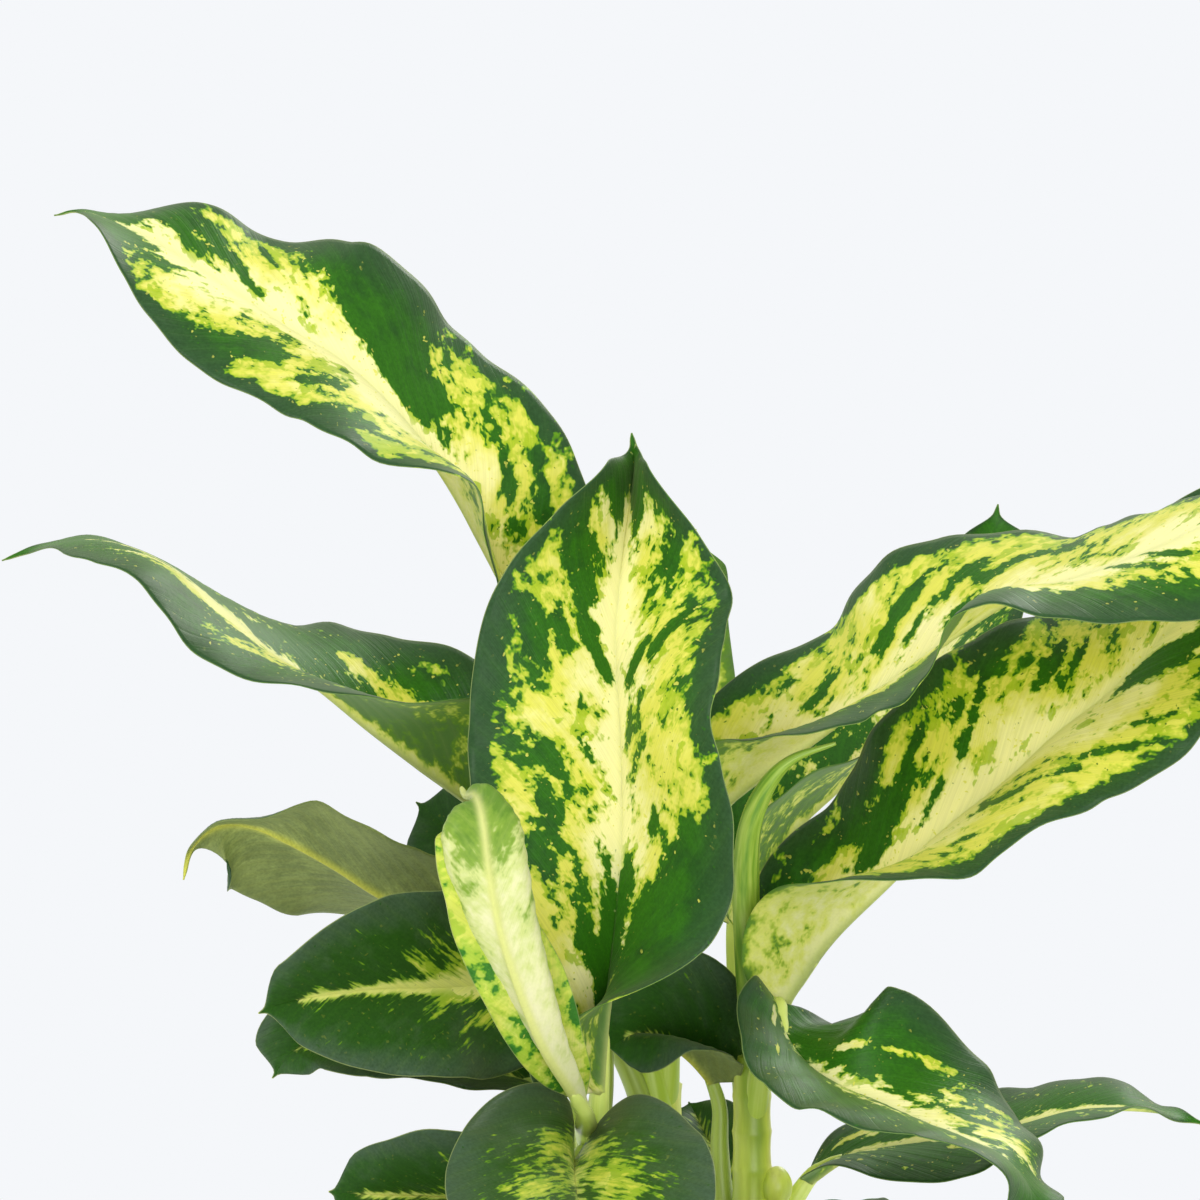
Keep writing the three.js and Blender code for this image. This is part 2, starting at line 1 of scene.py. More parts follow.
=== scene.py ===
# Potted dieffenbachia: a plain pot with soil, three canes and their variegated leaves.
# Metres, +Z up, the pot stands on z = 0 and the best side of the plant faces -Y.
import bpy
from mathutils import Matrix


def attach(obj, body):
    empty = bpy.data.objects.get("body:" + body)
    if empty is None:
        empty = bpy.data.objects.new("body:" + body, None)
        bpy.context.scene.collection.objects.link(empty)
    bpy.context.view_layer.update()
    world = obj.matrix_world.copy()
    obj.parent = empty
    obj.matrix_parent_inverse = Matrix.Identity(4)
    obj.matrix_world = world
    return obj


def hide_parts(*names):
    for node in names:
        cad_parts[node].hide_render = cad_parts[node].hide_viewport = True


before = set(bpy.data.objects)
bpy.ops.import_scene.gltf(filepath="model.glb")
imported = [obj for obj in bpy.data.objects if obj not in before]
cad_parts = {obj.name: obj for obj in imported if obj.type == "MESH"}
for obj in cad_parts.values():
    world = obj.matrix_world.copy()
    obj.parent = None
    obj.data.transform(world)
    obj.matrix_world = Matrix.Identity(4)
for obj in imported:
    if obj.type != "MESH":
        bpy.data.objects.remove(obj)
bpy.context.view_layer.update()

import math
from types import SimpleNamespace
import bmesh
import bpy
import numpy as np
from mathutils import Vector


# ---------------------------------------------------------------------------------------------
# Pot: a plain thrown pot with straight tapered walls, fired clay under a matt off-white glaze.
# It stands free on its flat base; the wall ends in a softly rounded lip.
MM = 0.001
POT_HEIGHT = 135.0
POT_TOP_RADIUS = 78.0
POT_BASE_RADIUS = 56.0
POT_WALL = 4.0
POT_FLOOR = 5.0
POT_SIDES = 160
POT_FOOT_EDGE = [(40.0, 0.0), (54.6, 0.0), (55.6, 0.35), (56.2, 1.2)]
LIP_MIDDLE = POT_TOP_RADIUS - POT_WALL / 2 - 0.1
LIP_HALF_WIDTH = 1.95
LIP_HEIGHT = 1.9
WHITE = (1, 1, 1, 1)


def pot_radius(z):
    return POT_BASE_RADIUS + (POT_TOP_RADIUS - POT_BASE_RADIUS) * z / POT_HEIGHT


def linear(red, green, blue):
    """A colour given in 0-255 as it looks on screen, as linear light with alpha."""
    def one(c):
        c /= 255
        return c / 12.92 if c <= 0.04045 else ((c + 0.055) / 1.055) ** 2.4
    return one(red), one(green), one(blue), 1.0


def new_material(name):
    material = bpy.data.materials.new(name)
    material.use_nodes = True
    material.node_tree.nodes.clear()
    return material, material.node_tree


def add(kind, links, tree=None, **settings):
    """Outputs of a new node; links gives its inputs, each a constant or a socket of the same tree."""
    tree = tree or next(v.id_data for v in links.values() if isinstance(v, bpy.types.NodeSocket))
    node = tree.nodes.new("ShaderNode" + kind)
    for key, value in settings.items():
        setattr(node, key, value)
    for key, value in links.items():
        if isinstance(value, bpy.types.NodeSocket):
            tree.links.new(value, node.inputs[key])
        else:
            node.inputs[key].default_value = value
    return node.outputs


def object_place(tree):
    return tree.nodes.new("ShaderNodeTexCoord").outputs["Object"]


def ramp(factor, stops):
    """Colour along a scale; each stop is a position and a colour."""
    colour = add("ValToRGB", {"Fac": factor})[0]
    elements = colour.node.color_ramp.elements
    elements.remove(elements[-1])
    elements[0].position, elements[0].color = stops[0]
    for position, tone in stops[1:]:
        elements.new(position).color = tone
    return colour


def noise(vector, scale, detail=2.0, roughness=0.5):
    return add("TexNoise", {"Vector": vector, "Scale": scale, "Detail": detail, "Roughness": roughness})[0]


def mix(factor, first, second, blend_type="MIX"):
    return add("MixRGB", {"Fac": factor, "Color1": first, "Color2": second}, blend_type=blend_type)[0]


def surface(colour, roughness, height, strength, depth, more=None):
    """Shader of a skin with a fine relief of the given depth in metres; more sets further inputs."""
    bump = add("Bump", {"Height": height, "Strength": strength, "Distance": depth})[0]
    links = {"Base Color": colour, "Roughness": roughness, "Normal": bump}
    return add("BsdfPrincipled", links | (more or {}))[0]


def output(shader):
    add("OutputMaterial", {"Surface": shader})


def mesh_piece(name, points, faces, materials):
    """A smooth mesh object from points in millimetres."""
    mesh = bpy.data.meshes.new(name)
    mesh.from_pydata((np.asarray(points) * MM).tolist(), [], [list(f) for f in faces])
    mesh.update()
    for material in materials:
        mesh.materials.append(material)
    mesh.polygons.foreach_set("use_smooth", [True] * len(mesh.polygons))
    piece = bpy.data.objects.new(name, mesh)
    bpy.context.scene.collection.objects.link(piece)
    return piece


def level_ring(radius, z, sides):
    turns = 2 * np.pi * np.arange(sides) / sides
    return np.stack([radius * np.cos(turns), radius * np.sin(turns), np.full(sides, z)], -1)


def closed(rings, first=0):
    """Points and faces of a body of rings, foot first; each end is closed round its middle point."""
    rings = np.asarray(rings)
    count, sides = rings.shape[:2]
    points = np.vstack([rings.reshape(-1, 3), rings[0].mean(0), rings[-1].mean(0)])
    foot = first + count * sides
    faces = []
    for k in range(sides):
        after = (k + 1) % sides
        for a in range(first, foot - sides, sides):
            faces.append((a + k, a + after, a + sides + after, a + sides + k))
        faces.append((foot, first + after, first + k))
        faces.append((foot + 1, foot - sides + k, foot - sides + after))
    return points, faces


def pot_glaze():
    """Faint clouds in the glaze, and small dark specks of the clay that show through it."""
    material, tree = new_material("pot_glaze")
    place = object_place(tree)
    cloud = noise(place, 22.0, 4.0)
    tone = ramp(cloud, [(0.3, linear(218, 215, 206)), (0.7, linear(232, 229, 221))])
    specks = ramp(noise(place, 900.0, 1.0), [
        (0.0, linear(176, 166, 148)), (0.27, linear(214, 209, 197)), (0.31, WHITE)])
    output(surface(mix(1.0, tone, specks, "MULTIPLY"), 0.42, cloud, 0.15, 0.0006))
    return material


pot_profile = POT_FOOT_EDGE + [(pot_radius(z), z) for z in (8.0, 30.0, 60.0, 90.0, 115.0, 128.0)]
pot_profile += [(LIP_MIDDLE + LIP_HALF_WIDTH * math.cos(a), POT_HEIGHT - LIP_HEIGHT * (1 - math.sin(a)))
                for a in np.linspace(0, math.pi, 9)]
pot_profile += [(pot_radius(z) - POT_WALL, z) for z in (126.0, 90.0, 50.0, 12.0, 6.6)]
pot_profile += [(50.0, POT_FLOOR), (20.0, POT_FLOOR)]
pot_points, pot_faces = closed([level_ring(radius, z, POT_SIDES) for radius, z in pot_profile])
flowerpot = mesh_piece("flowerpot", pot_points, pot_faces, [pot_glaze()])
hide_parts("pot")
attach(flowerpot, "root")


# ---------------------------------------------------------------------------------------------
# Soil: dark potting mix, a low mound that fills the pot to below the lip.
# Crumbs and flat chips lie loose on top, pressed half into the mix.
SOIL_EDGE = 118.0
SOIL_MOUND = 6.0
SOIL_RADIUS = pot_radius(SOIL_EDGE) - POT_WALL - 0.6
SOIL_FOOT = 6.2
SOIL_FOOT_RADIUS = pot_radius(6.0) - POT_WALL - 0.7
SOIL_RINGS = 64
SOIL_SIDES = 200
SOIL_ROUGHNESS = 0.35
SOIL_EDGE_CALM = 0.4
CRUMB_COUNT = 1500
CRUMB_KEEP_OFF = 3.0
CANE_FEET = {"front": (-23.2, -27.2, 9.2), "back": (4.9, 27.7, 9.2), "right": (35.6, 0.2, 9.4)}


def soil_top(x, y):
    share = np.clip(np.hypot(x, y) / SOIL_RADIUS, 0, 1)
    return SOIL_EDGE + SOIL_MOUND * (1 - share ** 2.2)


def potting_mix():
    """Nearly black fine grains among brown ones."""
    material, tree = new_material("potting_mix")
    place = object_place(tree)
    grain = noise(place, 420.0, 5.0, 0.65)
    tone = ramp(grain, [(0.28, linear(18, 12, 9)), (0.5, linear(48, 34, 24)), (0.66, linear(86, 64, 45)),
                        (0.78, linear(122, 98, 72))])
    tone = mix(noise(place, 60.0, 3.0), tone, linear(40, 28, 20))
    output(surface(tone, 0.95, grain, 0.9, 0.0012))
    return material


def soil_body(random):
    """A side that tapers down to the pot's floor, and the mound with its rough top."""
    rough = random.normal(0, SOIL_ROUGHNESS, (SOIL_RINGS + 1, SOIL_SIDES))
    rings = [level_ring(SOIL_FOOT_RADIUS, SOIL_FOOT, SOIL_SIDES)]
    for i in range(SOIL_RINGS, 0, -1):
        ring = level_ring(SOIL_RADIUS * i / SOIL_RINGS, 0.0, SOIL_SIDES)
        x, y = ring[:, 0], ring[:, 1]
        swell = 0.6 * np.sin(x / 5.1 + 1.3) * np.sin(y / 6.3) + 0.4 * np.sin(x / 2.3) * np.cos(y / 2.9)
        calm = SOIL_EDGE_CALM if i == SOIL_RINGS else 1
        ring[:, 2] = soil_top(x, y) + (swell + rough[i]) * calm
        rings.append(ring)
    points, faces = closed(rings)
    points[-1] = (0, 0, soil_top(0, 0))
    # A face's first corner decides along which diagonal it is split.
    return points, [face[1:] + face[:1] for face in faces]


def ball_mesh(maker, **sizes):
    ball = bmesh.new()
    maker(ball, **sizes)
    points = np.array([v.co[:] for v in ball.verts])
    faces = [[v.index for v in f.verts] for f in ball.faces]
    ball.free()
    return points, faces


def soil_crumbs(random):
    """Loose crumbs: small uneven lumps and flat chips, kept clear of the canes and the pot."""
    shape, shape_faces = ball_mesh(bmesh.ops.create_icosphere, subdivisions=1, radius=1.0)
    points, faces = [], []
    while len(points) < CRUMB_COUNT:
        radius = (SOIL_RADIUS - CRUMB_KEEP_OFF) * math.sqrt(random.random())
        turn = random.random() * 2 * math.pi
        x, y = radius * math.cos(turn), radius * math.sin(turn)
        size = 0.6 + 1.9 * random.random() ** 2.5
        if any(math.hypot(x - cx, y - cy) < r + size for cx, cy, r in CANE_FEET.values()):
            continue
        lump = shape * (1 + random.normal(0, 0.16, (len(shape), 1)))
        lump = lump * (size * np.array([1.0, 0.65 + 0.5 * random.random(), 0.35 + 0.5 * random.random()]))
        spin = random.random() * 2 * math.pi
        cos, sin = math.cos(spin), math.sin(spin)
        lump = lump @ np.array([[cos, sin, 0], [-sin, cos, 0], [0, 0, 1]])
        faces.append(np.array(shape_faces) + len(points) * len(shape))
        points.append(lump + np.array([x, y, float(soil_top(x, y)) + 0.25 * size]))
    return np.concatenate(points), np.concatenate(faces)


soil_random = np.random.default_rng(7)
body_points, body_faces = soil_body(soil_random)
crumb_points, crumb_faces = soil_crumbs(soil_random)
potting_soil = mesh_piece(
    "potting_soil", np.vstack([body_points, crumb_points]),
    body_faces + (crumb_faces + len(body_points)).tolist(), [potting_mix()])
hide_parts("soil")
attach(potting_soil, "root")


# ---------------------------------------------------------------------------------------------
# Canes: the plant's upright stems, green and smooth, ringed with the scars of fallen leaves.
# They stand in the soil; the right one carries a small round bud at its side.
CANE_FOOT = 62.0
CANES = {
    "front": ([(-20, -24, CANE_FOOT), (-24, -28, 140), (-24, -28, 183), (-23, -29, 208)], 8.0, 6.5),
    "back": ([(4, 26, CANE_FOOT), (5, 28, 130), (4, 28, 180), (4, 30, 222)], 8.0, 6.5),
    "right": ([(34, 1, CANE_FOOT), (36, 0, 132), (37, 0, 179), (37, -2, 234)], 8.4, 7.0),
}
CANE_RINGS = 121
CANE_SIDES = 40
CANE_SHOULDER_FROM = 0.985
CANE_SHOULDER = 0.75
SCAR_SPACING = 14.0
SCAR_START = 4.0
SCAR_HEIGHT = 0.4
SCAR_SHARPNESS = 0.9
BETWEEN_SCARS = 0.125
BUD_PLACE = (46.5, -4.0, 184.0)
BUD_RADIUS = 6.0
BUD_STRETCH = 1.25
BUD_POINT = 0.12


def spline(rows, places):
    """Smooth curve through rows of numbers; places run from 0 to the number of rows less 1."""
    rows = np.asarray(rows, float)
    padded = np.vstack([2 * rows[0] - rows[1], rows, 2 * rows[-1] - rows[-2]])
    start = np.clip(np.floor(places).astype(int), 0, len(rows) - 2)
    f = (np.asarray(places) - start)[:, None]
    p0, p1, p2, p3 = (padded[start + k] for k in range(4))
    return p1 + 0.5 * f * (p2 - p0 + f * (2 * p0 - 5 * p1 + 4 * p2 - p3 + f * (3 * (p1 - p2) + p3 - p0)))


def even_places(rows, shares):
    """Places on the spline at given shares of its length, and that length."""
    fine = np.linspace(0, len(rows) - 1, 60 * (len(rows) - 1) + 1)
    curve = spline([r[:3] for r in rows], fine)
    run = np.concatenate([[0], np.cumsum(np.linalg.norm(np.diff(curve, axis=0), axis=1))])
    return np.interp(np.asarray(shares) * run[-1], run, fine), run[-1]


def unit(vectors):
    return vectors / np.maximum(np.linalg.norm(vectors, axis=-1, keepdims=True), 1e-9)


def tube(rows, shares, radii, sides):
    """Rings of a tube along a spline; radii holds for each ring one radius or one for each side."""
    centres = spline([r[:3] for r in rows], even_places(rows, shares)[0])
    turns = 2 * np.pi * np.arange(sides)[:, None] / sides
    side = np.array([1.0, 0.0, 0.0])
    rings = []
    for centre, along, radius in zip(centres, unit(np.gradient(centres, axis=0)), radii):
        side = unit(side - along * (side @ along))
        spokes = np.cos(turns) * side + np.sin(turns) * np.cross(along, side)
        rings.append(centre + np.reshape(radius, (-1, 1)) * spokes)
    return np.array(rings)


def cane_skin():
    """Smooth green skin in long bands, with fine fibres along the stem."""
    material, tree = new_material("cane_skin")
    stretched = add("Mapping", {"Vector": object_place(tree), "Scale": (1.0, 1.0, 0.12)})[0]
    streak = noise(stretched, 500.0, 3.0)
    green = ramp(noise(stretched, 75.0), [
        (0.34, linear(146, 174, 48)), (0.5, linear(204, 218, 84)), (0.66, linear(232, 232, 138))])
    fibre = ramp(streak, [(0.3, linear(206, 206, 176)), (0.6, WHITE)])
    output(surface(mix(0.35, green, fibre, "MULTIPLY"), 0.38, streak, 0.12, 0.0004))
    return material


cane_material = cane_skin()
for cane, (line, foot_radius, top_radius) in CANES.items():
    shares = np.linspace(0, 1, CANE_RINGS)
    height = even_places(line, shares)[1] * shares + SCAR_START
    scar = np.exp(-(height % SCAR_SPACING - SCAR_SPACING / 2) ** 2 / SCAR_SHARPNESS)
    swell = -np.cos(2 * np.pi * height / SCAR_SPACING)
    radii = foot_radius + (top_radius - foot_radius) * shares + SCAR_HEIGHT * scar + BETWEEN_SCARS * swell
    radii = radii * np.where(shares > CANE_SHOULDER_FROM, CANE_SHOULDER, 1.0)
    points, faces = closed(tube(line, shares, radii, CANE_SIDES))
    if cane == "right":
        bud, bud_faces = ball_mesh(
            bmesh.ops.create_uvsphere, u_segments=32, v_segments=20, radius=BUD_RADIUS)
        bud[:, 2] *= BUD_STRETCH + BUD_POINT * np.maximum(bud[:, 2], 0) / BUD_RADIUS
        faces += [[k + len(points) for k in face] for face in bud_faces]
        points = np.vstack([points, bud + np.array(BUD_PLACE)])
    piece = mesh_piece(cane + "_stem", points, faces, [cane_material])
    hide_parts("cane_" + cane)
    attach(piece, "root")


# ---------------------------------------------------------------------------------------------
# Leaves, how they grow: each is one body of a stalk, a midrib and a thin blade that never lies flat.
# A blade row crosses the midrib from the left margin to the right one; side veins sweep to the tip.
TOWARDS_FRONT = (0.0, -1.0, 0.0)
TOWARDS_BACK = (0.0, 1.0, 0.0)
BLADE_THICKNESS = 0.55
ROW_SPACING = 1.7
ROW_CROWDING = 0.4
HALF_COLUMNS = 26
COLUMN_CROWDING = 1.35
BASE_HALF_WIDTH = 2.2
TIP_HALF_WIDTH = 0.3
LOBE_SHARE = 0.4
RIPPLE_GAIN = 1.6
RIPPLE_LAG = 1.9
EDGE_RIPPLES = ((5.5, 37.0, 1.7), (4.0, 21.0, 2.9))
EDGE_RIPPLES_FROM = 0.55
VEIN_SPACING = 9.5
VEIN_LEAN = 1.75
VEIN_CURL = 0.008
QUILT_HEIGHT = 0.3
RIB_HALF_WIDTH = 2.1
RIB_ABOVE = 0.35
RIB_BELOW = 2.3
RIB_TAPER = 0.82
RIM_WIDTH = 0.8
STALK_SIDES = 28
STALK_RING_SPACING = 2.2
STALK_TIP_RADIUS = 2.6
STALK_END_SINKS = (1.7, 1.3, 0.9)
STALK_TURN = 20.0
# What a leaf has unless its own list says otherwise. Lobes reach back beside the stalk (mm); `arches` is how
# far each half bends to its margin (degrees); `roll` is the share of a half in which it bends, and how soon
# that fades at both ends; `ripple` is the wave of the margin: degrees, waves, start; `point` is where the tip
# is drawn out, and by how much of the width; `belly` above 1 moves the widest place towards the tip.
PLAIN_LEAF = {
    "lobes": (6, 6), "faces": TOWARDS_FRONT, "arches": (-24, -24), "halves": (1, 1), "roll": (0, 1, 0.5),
    "ripple": (3, 2.5, 0), "point": (0.93, 0.985, 0.86), "belly": 1, "stalk_radius": 5.6, "marks": (),
}


def outline(leaf, t):
    """Half-width of a blade against its largest half-width; the tip is drawn out to a point."""
    start, end, share = leaf["point"]
    drawn = np.clip((t - start) / (end - start), 0, 1)
    drawn = drawn * drawn * (3 - 2 * drawn)
    return np.sin(np.pi * np.clip(t, 0, 1) ** leaf["belly"]) ** (0.38 + 0.22 * t) * (1 - share * drawn)


def midrib(leaf, shares):
    """Places, directions, side and upper normals and fold angles along the midrib, and its length."""
    rows = np.asarray(leaf["blade"], float)
    places, length = even_places(rows, np.clip(shares, 0, 1))
    step = 1e-3
    here = spline(rows, places)
    along = unit(spline(rows[:, :3], np.minimum(places + step, len(rows) - 1))
                 - spline(rows[:, :3], np.maximum(places - step, 0)))
    side = unit(np.cross(unit(np.asarray(leaf["faces"], float)), along))
    return here[:, :3], along, side, np.cross(along, side), here[:, 3], here[:, 4], length


def vein_run(distance):
    """How far along the midrib a side vein has swept when it is this far out from it."""
    return VEIN_LEAN * distance - VEIN_CURL * distance ** 2


def blade_sheet(leaf, rows, columns):
    """Middle sheet of the blade, and for each point its distance from the midrib and the margin's."""
    roll_from, roll_to, roll_fade = leaf["roll"]
    ripple, ripple_count, ripple_start = leaf["ripple"]
    half = leaf["width"] / 2
    even = np.arange(rows + 1) / rows
    t = even - ROW_CROWDING * np.sin(2 * np.pi * even) / (2 * np.pi)
    place, along, side, up, left, right, length = midrib(leaf, t)
    reach = np.maximum(half * outline(leaf, t), np.where(t < 0.5, BASE_HALF_WIDTH, TIP_HALF_WIDTH))
    v = (np.arange(columns + 1) / columns) ** COLUMN_CROWDING
    middle = (v[1:] + v[:-1]) / 2
    sheet = np.zeros((rows + 1, 2 * columns + 1, 3))
    across = np.zeros((rows + 1, 2 * columns + 1))
    width = np.repeat(reach[:, None], 2 * columns + 1, 1)
    sheet[:, columns] = place
    arch_share = np.clip((middle - roll_from) / (roll_to - roll_from), 0, 1) - 0.5
    arch_fade = np.maximum(np.sin(np.pi * t), 0) ** roll_fade
    at_edge = np.clip((middle - EDGE_RIPPLES_FROM) / (1 - EDGE_RIPPLES_FROM), 0, 1) ** 1.5
    halves = zip((1, -1), (left, right), leaf["lobes"], leaf["arches"], leaf["halves"], (0, RIPPLE_LAG))
    for sign, fold, lobe, arch, share, lag in halves:
        wave = RIPPLE_GAIN * ripple * np.sin(2 * np.pi * ripple_count * t + ripple_start + lag)
        fine = sum(size * np.sin(2 * np.pi * length * t / spacing + leaf["seed"] * turn + lag)
                   for size, spacing, turn in EDGE_RIPPLES)
        swing = wave[:, None] * middle ** 2 + (fine * np.sin(np.pi * t))[:, None] * at_edge
        angle = np.radians(fold[:, None] + arch * arch_share * arch_fade[:, None] + swing)
        step = reach[:, None] * np.diff(v) * share
        out = np.cumsum(step * np.cos(angle), axis=1)[:, :, None] * side[:, None] * sign
        lift = np.cumsum(step * np.sin(angle), axis=1)[:, :, None] * up[:, None]
        back = lobe * (reach / half * np.maximum(0, 1 - t / LOBE_SHARE) ** 2)[:, None] * v[1:] ** 1.5
        index = columns - sign * np.arange(1, columns + 1)
        sheet[:, index] = place[:, None] + out + lift - along[:, None] * back[:, :, None]
        across[:, index] = sign * share * reach[:, None] * v[1:]
        width[:, index] = share * reach[:, None]
    return sheet, across, width, t, length


def blade_body(leaf):
    """Closed thin body of the blade: points, faces, their materials, and the places on the leaf."""
    rows = int(even_places(leaf["blade"], [0.0])[1] / ROW_SPACING)
    sheet, across, reach, t, length = blade_sheet(leaf, rows, HALF_COLUMNS)
    run = np.repeat((t * length)[:, None], across.shape[1], 1)
    normal = unit(np.cross(np.gradient(sheet, axis=1), np.gradient(sheet, axis=0)))
    distance = np.abs(across)
    share = distance / reach
    vein = run - vein_run(distance)
    quilt = np.cos(2 * np.pi * vein / VEIN_SPACING) * np.sin(np.pi * np.clip(share, 0, 1)) * reach / 50
    sheet = sheet + normal * (QUILT_HEIGHT * quilt)[:, :, None]
    taper = (1 - RIB_TAPER * t)[:, None]
    rib = taper * np.exp(-(distance / (RIB_HALF_WIDTH * taper + 0.3)) ** 2)
    thin = 0.35 + 0.65 * np.clip((1 - share) * reach / RIM_WIDTH, 0, 1) ** 0.5
    top = sheet + normal * ((BLADE_THICKNESS / 2 + RIB_ABOVE * rib) * thin)[:, :, None]
    under = sheet - normal * ((BLADE_THICKNESS / 2 + RIB_BELOW * rib) * thin)[:, :, None]
    layer = across.size
    index = np.arange(layer).reshape(across.shape)
    quads = [index[:-1, :-1], index[:-1, 1:], index[1:, 1:], index[1:, :-1]]
    upper = np.stack(quads, -1).reshape(-1, 4)
    lower = np.stack(quads[::-1], -1).reshape(-1, 4) + layer
    walls = []
    for line in (index[::-1, 0], index[:, -1], index[0, :], index[-1, ::-1]):
        p, q = line[:-1], line[1:]
        walls.append(np.stack([q, p, p + layer, q + layer], -1))
    faces = np.concatenate([upper, lower] + walls)
    kinds = (np.arange(len(faces)) >= len(upper)).astype(int)
    place = np.stack([run, across, reach], -1).reshape(-1, 3)
    points = np.concatenate([top.reshape(-1, 3), under.reshape(-1, 3)])
    return points, faces, kinds, np.concatenate([place, place]), length


def mark_bias(leaf, place, length):
    """Sum of the leaf's own marks: each is (u, v, length, width, strength) laid along the side veins."""
    run, across = place[:, 0], place[:, 1]
    distance = np.abs(across)
    bias = np.zeros(len(run))
    for u, v, long, wide, strength in leaf["marks"]:
        own = abs(v) * leaf["width"] / 2 * float(outline(leaf, np.array(u)))
        off = run - vein_run(distance) - (u * length - vein_run(own))
        fade = np.exp(-((off / wide) ** 2) ** 1.5 - (((distance - own) / long) ** 2) ** 1.5)
        bias += strength * fade * ((v == 0) | (np.sign(across) == np.sign(v)))
    return bias - 1.8 * np.clip((run / length - 0.85) / 0.08, 0, 1)


def stalk_body(leaf, first):
    """Stalk from its tapered foot on the cane to its end under the blade, and the places on it."""
    rib, _, _, up = midrib(leaf, np.array([0.0, 0.05, 0.1]))[:4]
    line = leaf["stalk"] + [rib[k] - up[k] * sink for k, sink in enumerate(STALK_END_SINKS)]
    foot = leaf["stalk_radius"]
    length = even_places(line, [0.0])[1]
    shares = np.linspace(0, 1, max(24, int(length / STALK_RING_SPACING)))
    radii = foot + (STALK_TIP_RADIUS - foot) * np.clip(shares * 1.12, 0, 1)
    radii = radii * np.clip((1.03 - shares) / 0.12, 0.3, 1) ** 0.6
    foot_share = np.clip(shares * length / (3.4 * foot), 0, 1)
    radii = radii * (0.45 + 0.55 * np.sqrt(1 - (1 - foot_share) ** 2))
    points, faces = closed(tube(line, shares, radii, STALK_SIDES), first)
    turn = np.tile(np.arange(STALK_SIDES) / STALK_SIDES * STALK_TURN, len(shares))
    return points, faces, tube_places(shares, length, turn)


def tube_places(shares, length, turn):
    """For each point of a closed tube: how far along it is, how far round, and its share of the length."""
    sides = len(turn) // len(shares)
    place = np.stack([np.repeat(shares * length, sides), turn, np.repeat(shares, sides)], -1)
    return np.vstack([place, [0, 0, 0], [length, 0, 1]])


def write_layer(piece, name, values):
    """Three numbers for each point of a mesh, for its materials to read."""
    layer = piece.data.attributes.new(name, "FLOAT_VECTOR", "POINT")
    layer.data.foreach_set("vector", np.ascontiguousarray(values, dtype=np.float32).ravel())


def grow_leaf(name, skins, slot=None, **own):
    """One leaf: blade with its midrib, and the stalk, which tapers up from the cane.

    Each row of `blade` is one station of the midrib, from base to tip: x, y, z (mm), then how far the left
    and the right half fold up from the plane that `faces` names (degrees).
    """
    leaf = PLAIN_LEAF | own
    points, faces, kinds, place, length = blade_body(leaf)
    stalk, stalk_faces, stalk_place = stalk_body(leaf, len(points))
    bias = mark_bias(leaf, place, length)
    look = np.stack([bias, np.full(len(bias), leaf["seed"]), np.full(len(bias), leaf["pale"])], -1)
    stalk_look = np.tile([0, leaf["seed"], 0], (len(stalk), 1))
    piece = mesh_piece(name, np.vstack([points, stalk]), faces.tolist() + stalk_faces, skins[1])
    piece.data.polygons.foreach_set("material_index", np.append(kinds, [2] * len(stalk_faces)))
    write_layer(piece, "leaf_place", np.vstack([place, stalk_place]))
    write_layer(piece, "leaf_look", np.vstack([look, stalk_look]))
    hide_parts("leaf_" + name.removesuffix("_leaf"))
    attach(piece, "root")


def calc(operation, *values):
    return add("Math", dict(enumerate(values)), operation=operation)[0]


def plus(first, second):
    return calc("ADD", first, second)


def minus(first, second):
    return calc("SUBTRACT", first, second)


def times(first, second):
    return calc("MULTIPLY", first, second)


def times_plus(first, second, rest):
    return calc("MULTIPLY_ADD", first, second, rest)


def step_between(value, low, high, top=1.0, start=0.0):
    """Soft step from start to top while the value goes from low to high."""
    return add("MapRange", {0: value, 1: low, 2: high, 3: start, 4: top}, interpolation_type="SMOOTHSTEP")[0]


def bell(distance, width):
    """1 at no distance, fading out with the distance over about the width."""
    return calc("EXPONENT", times(calc("POWER", calc("DIVIDE", distance, width), 2.0), -1.0))


def read_layer(tree, name):
    layer = tree.nodes.new("ShaderNodeAttribute")
    layer.attribute_name = name
    return add("SeparateXYZ", {"Vector": layer.outputs["Vector"]})


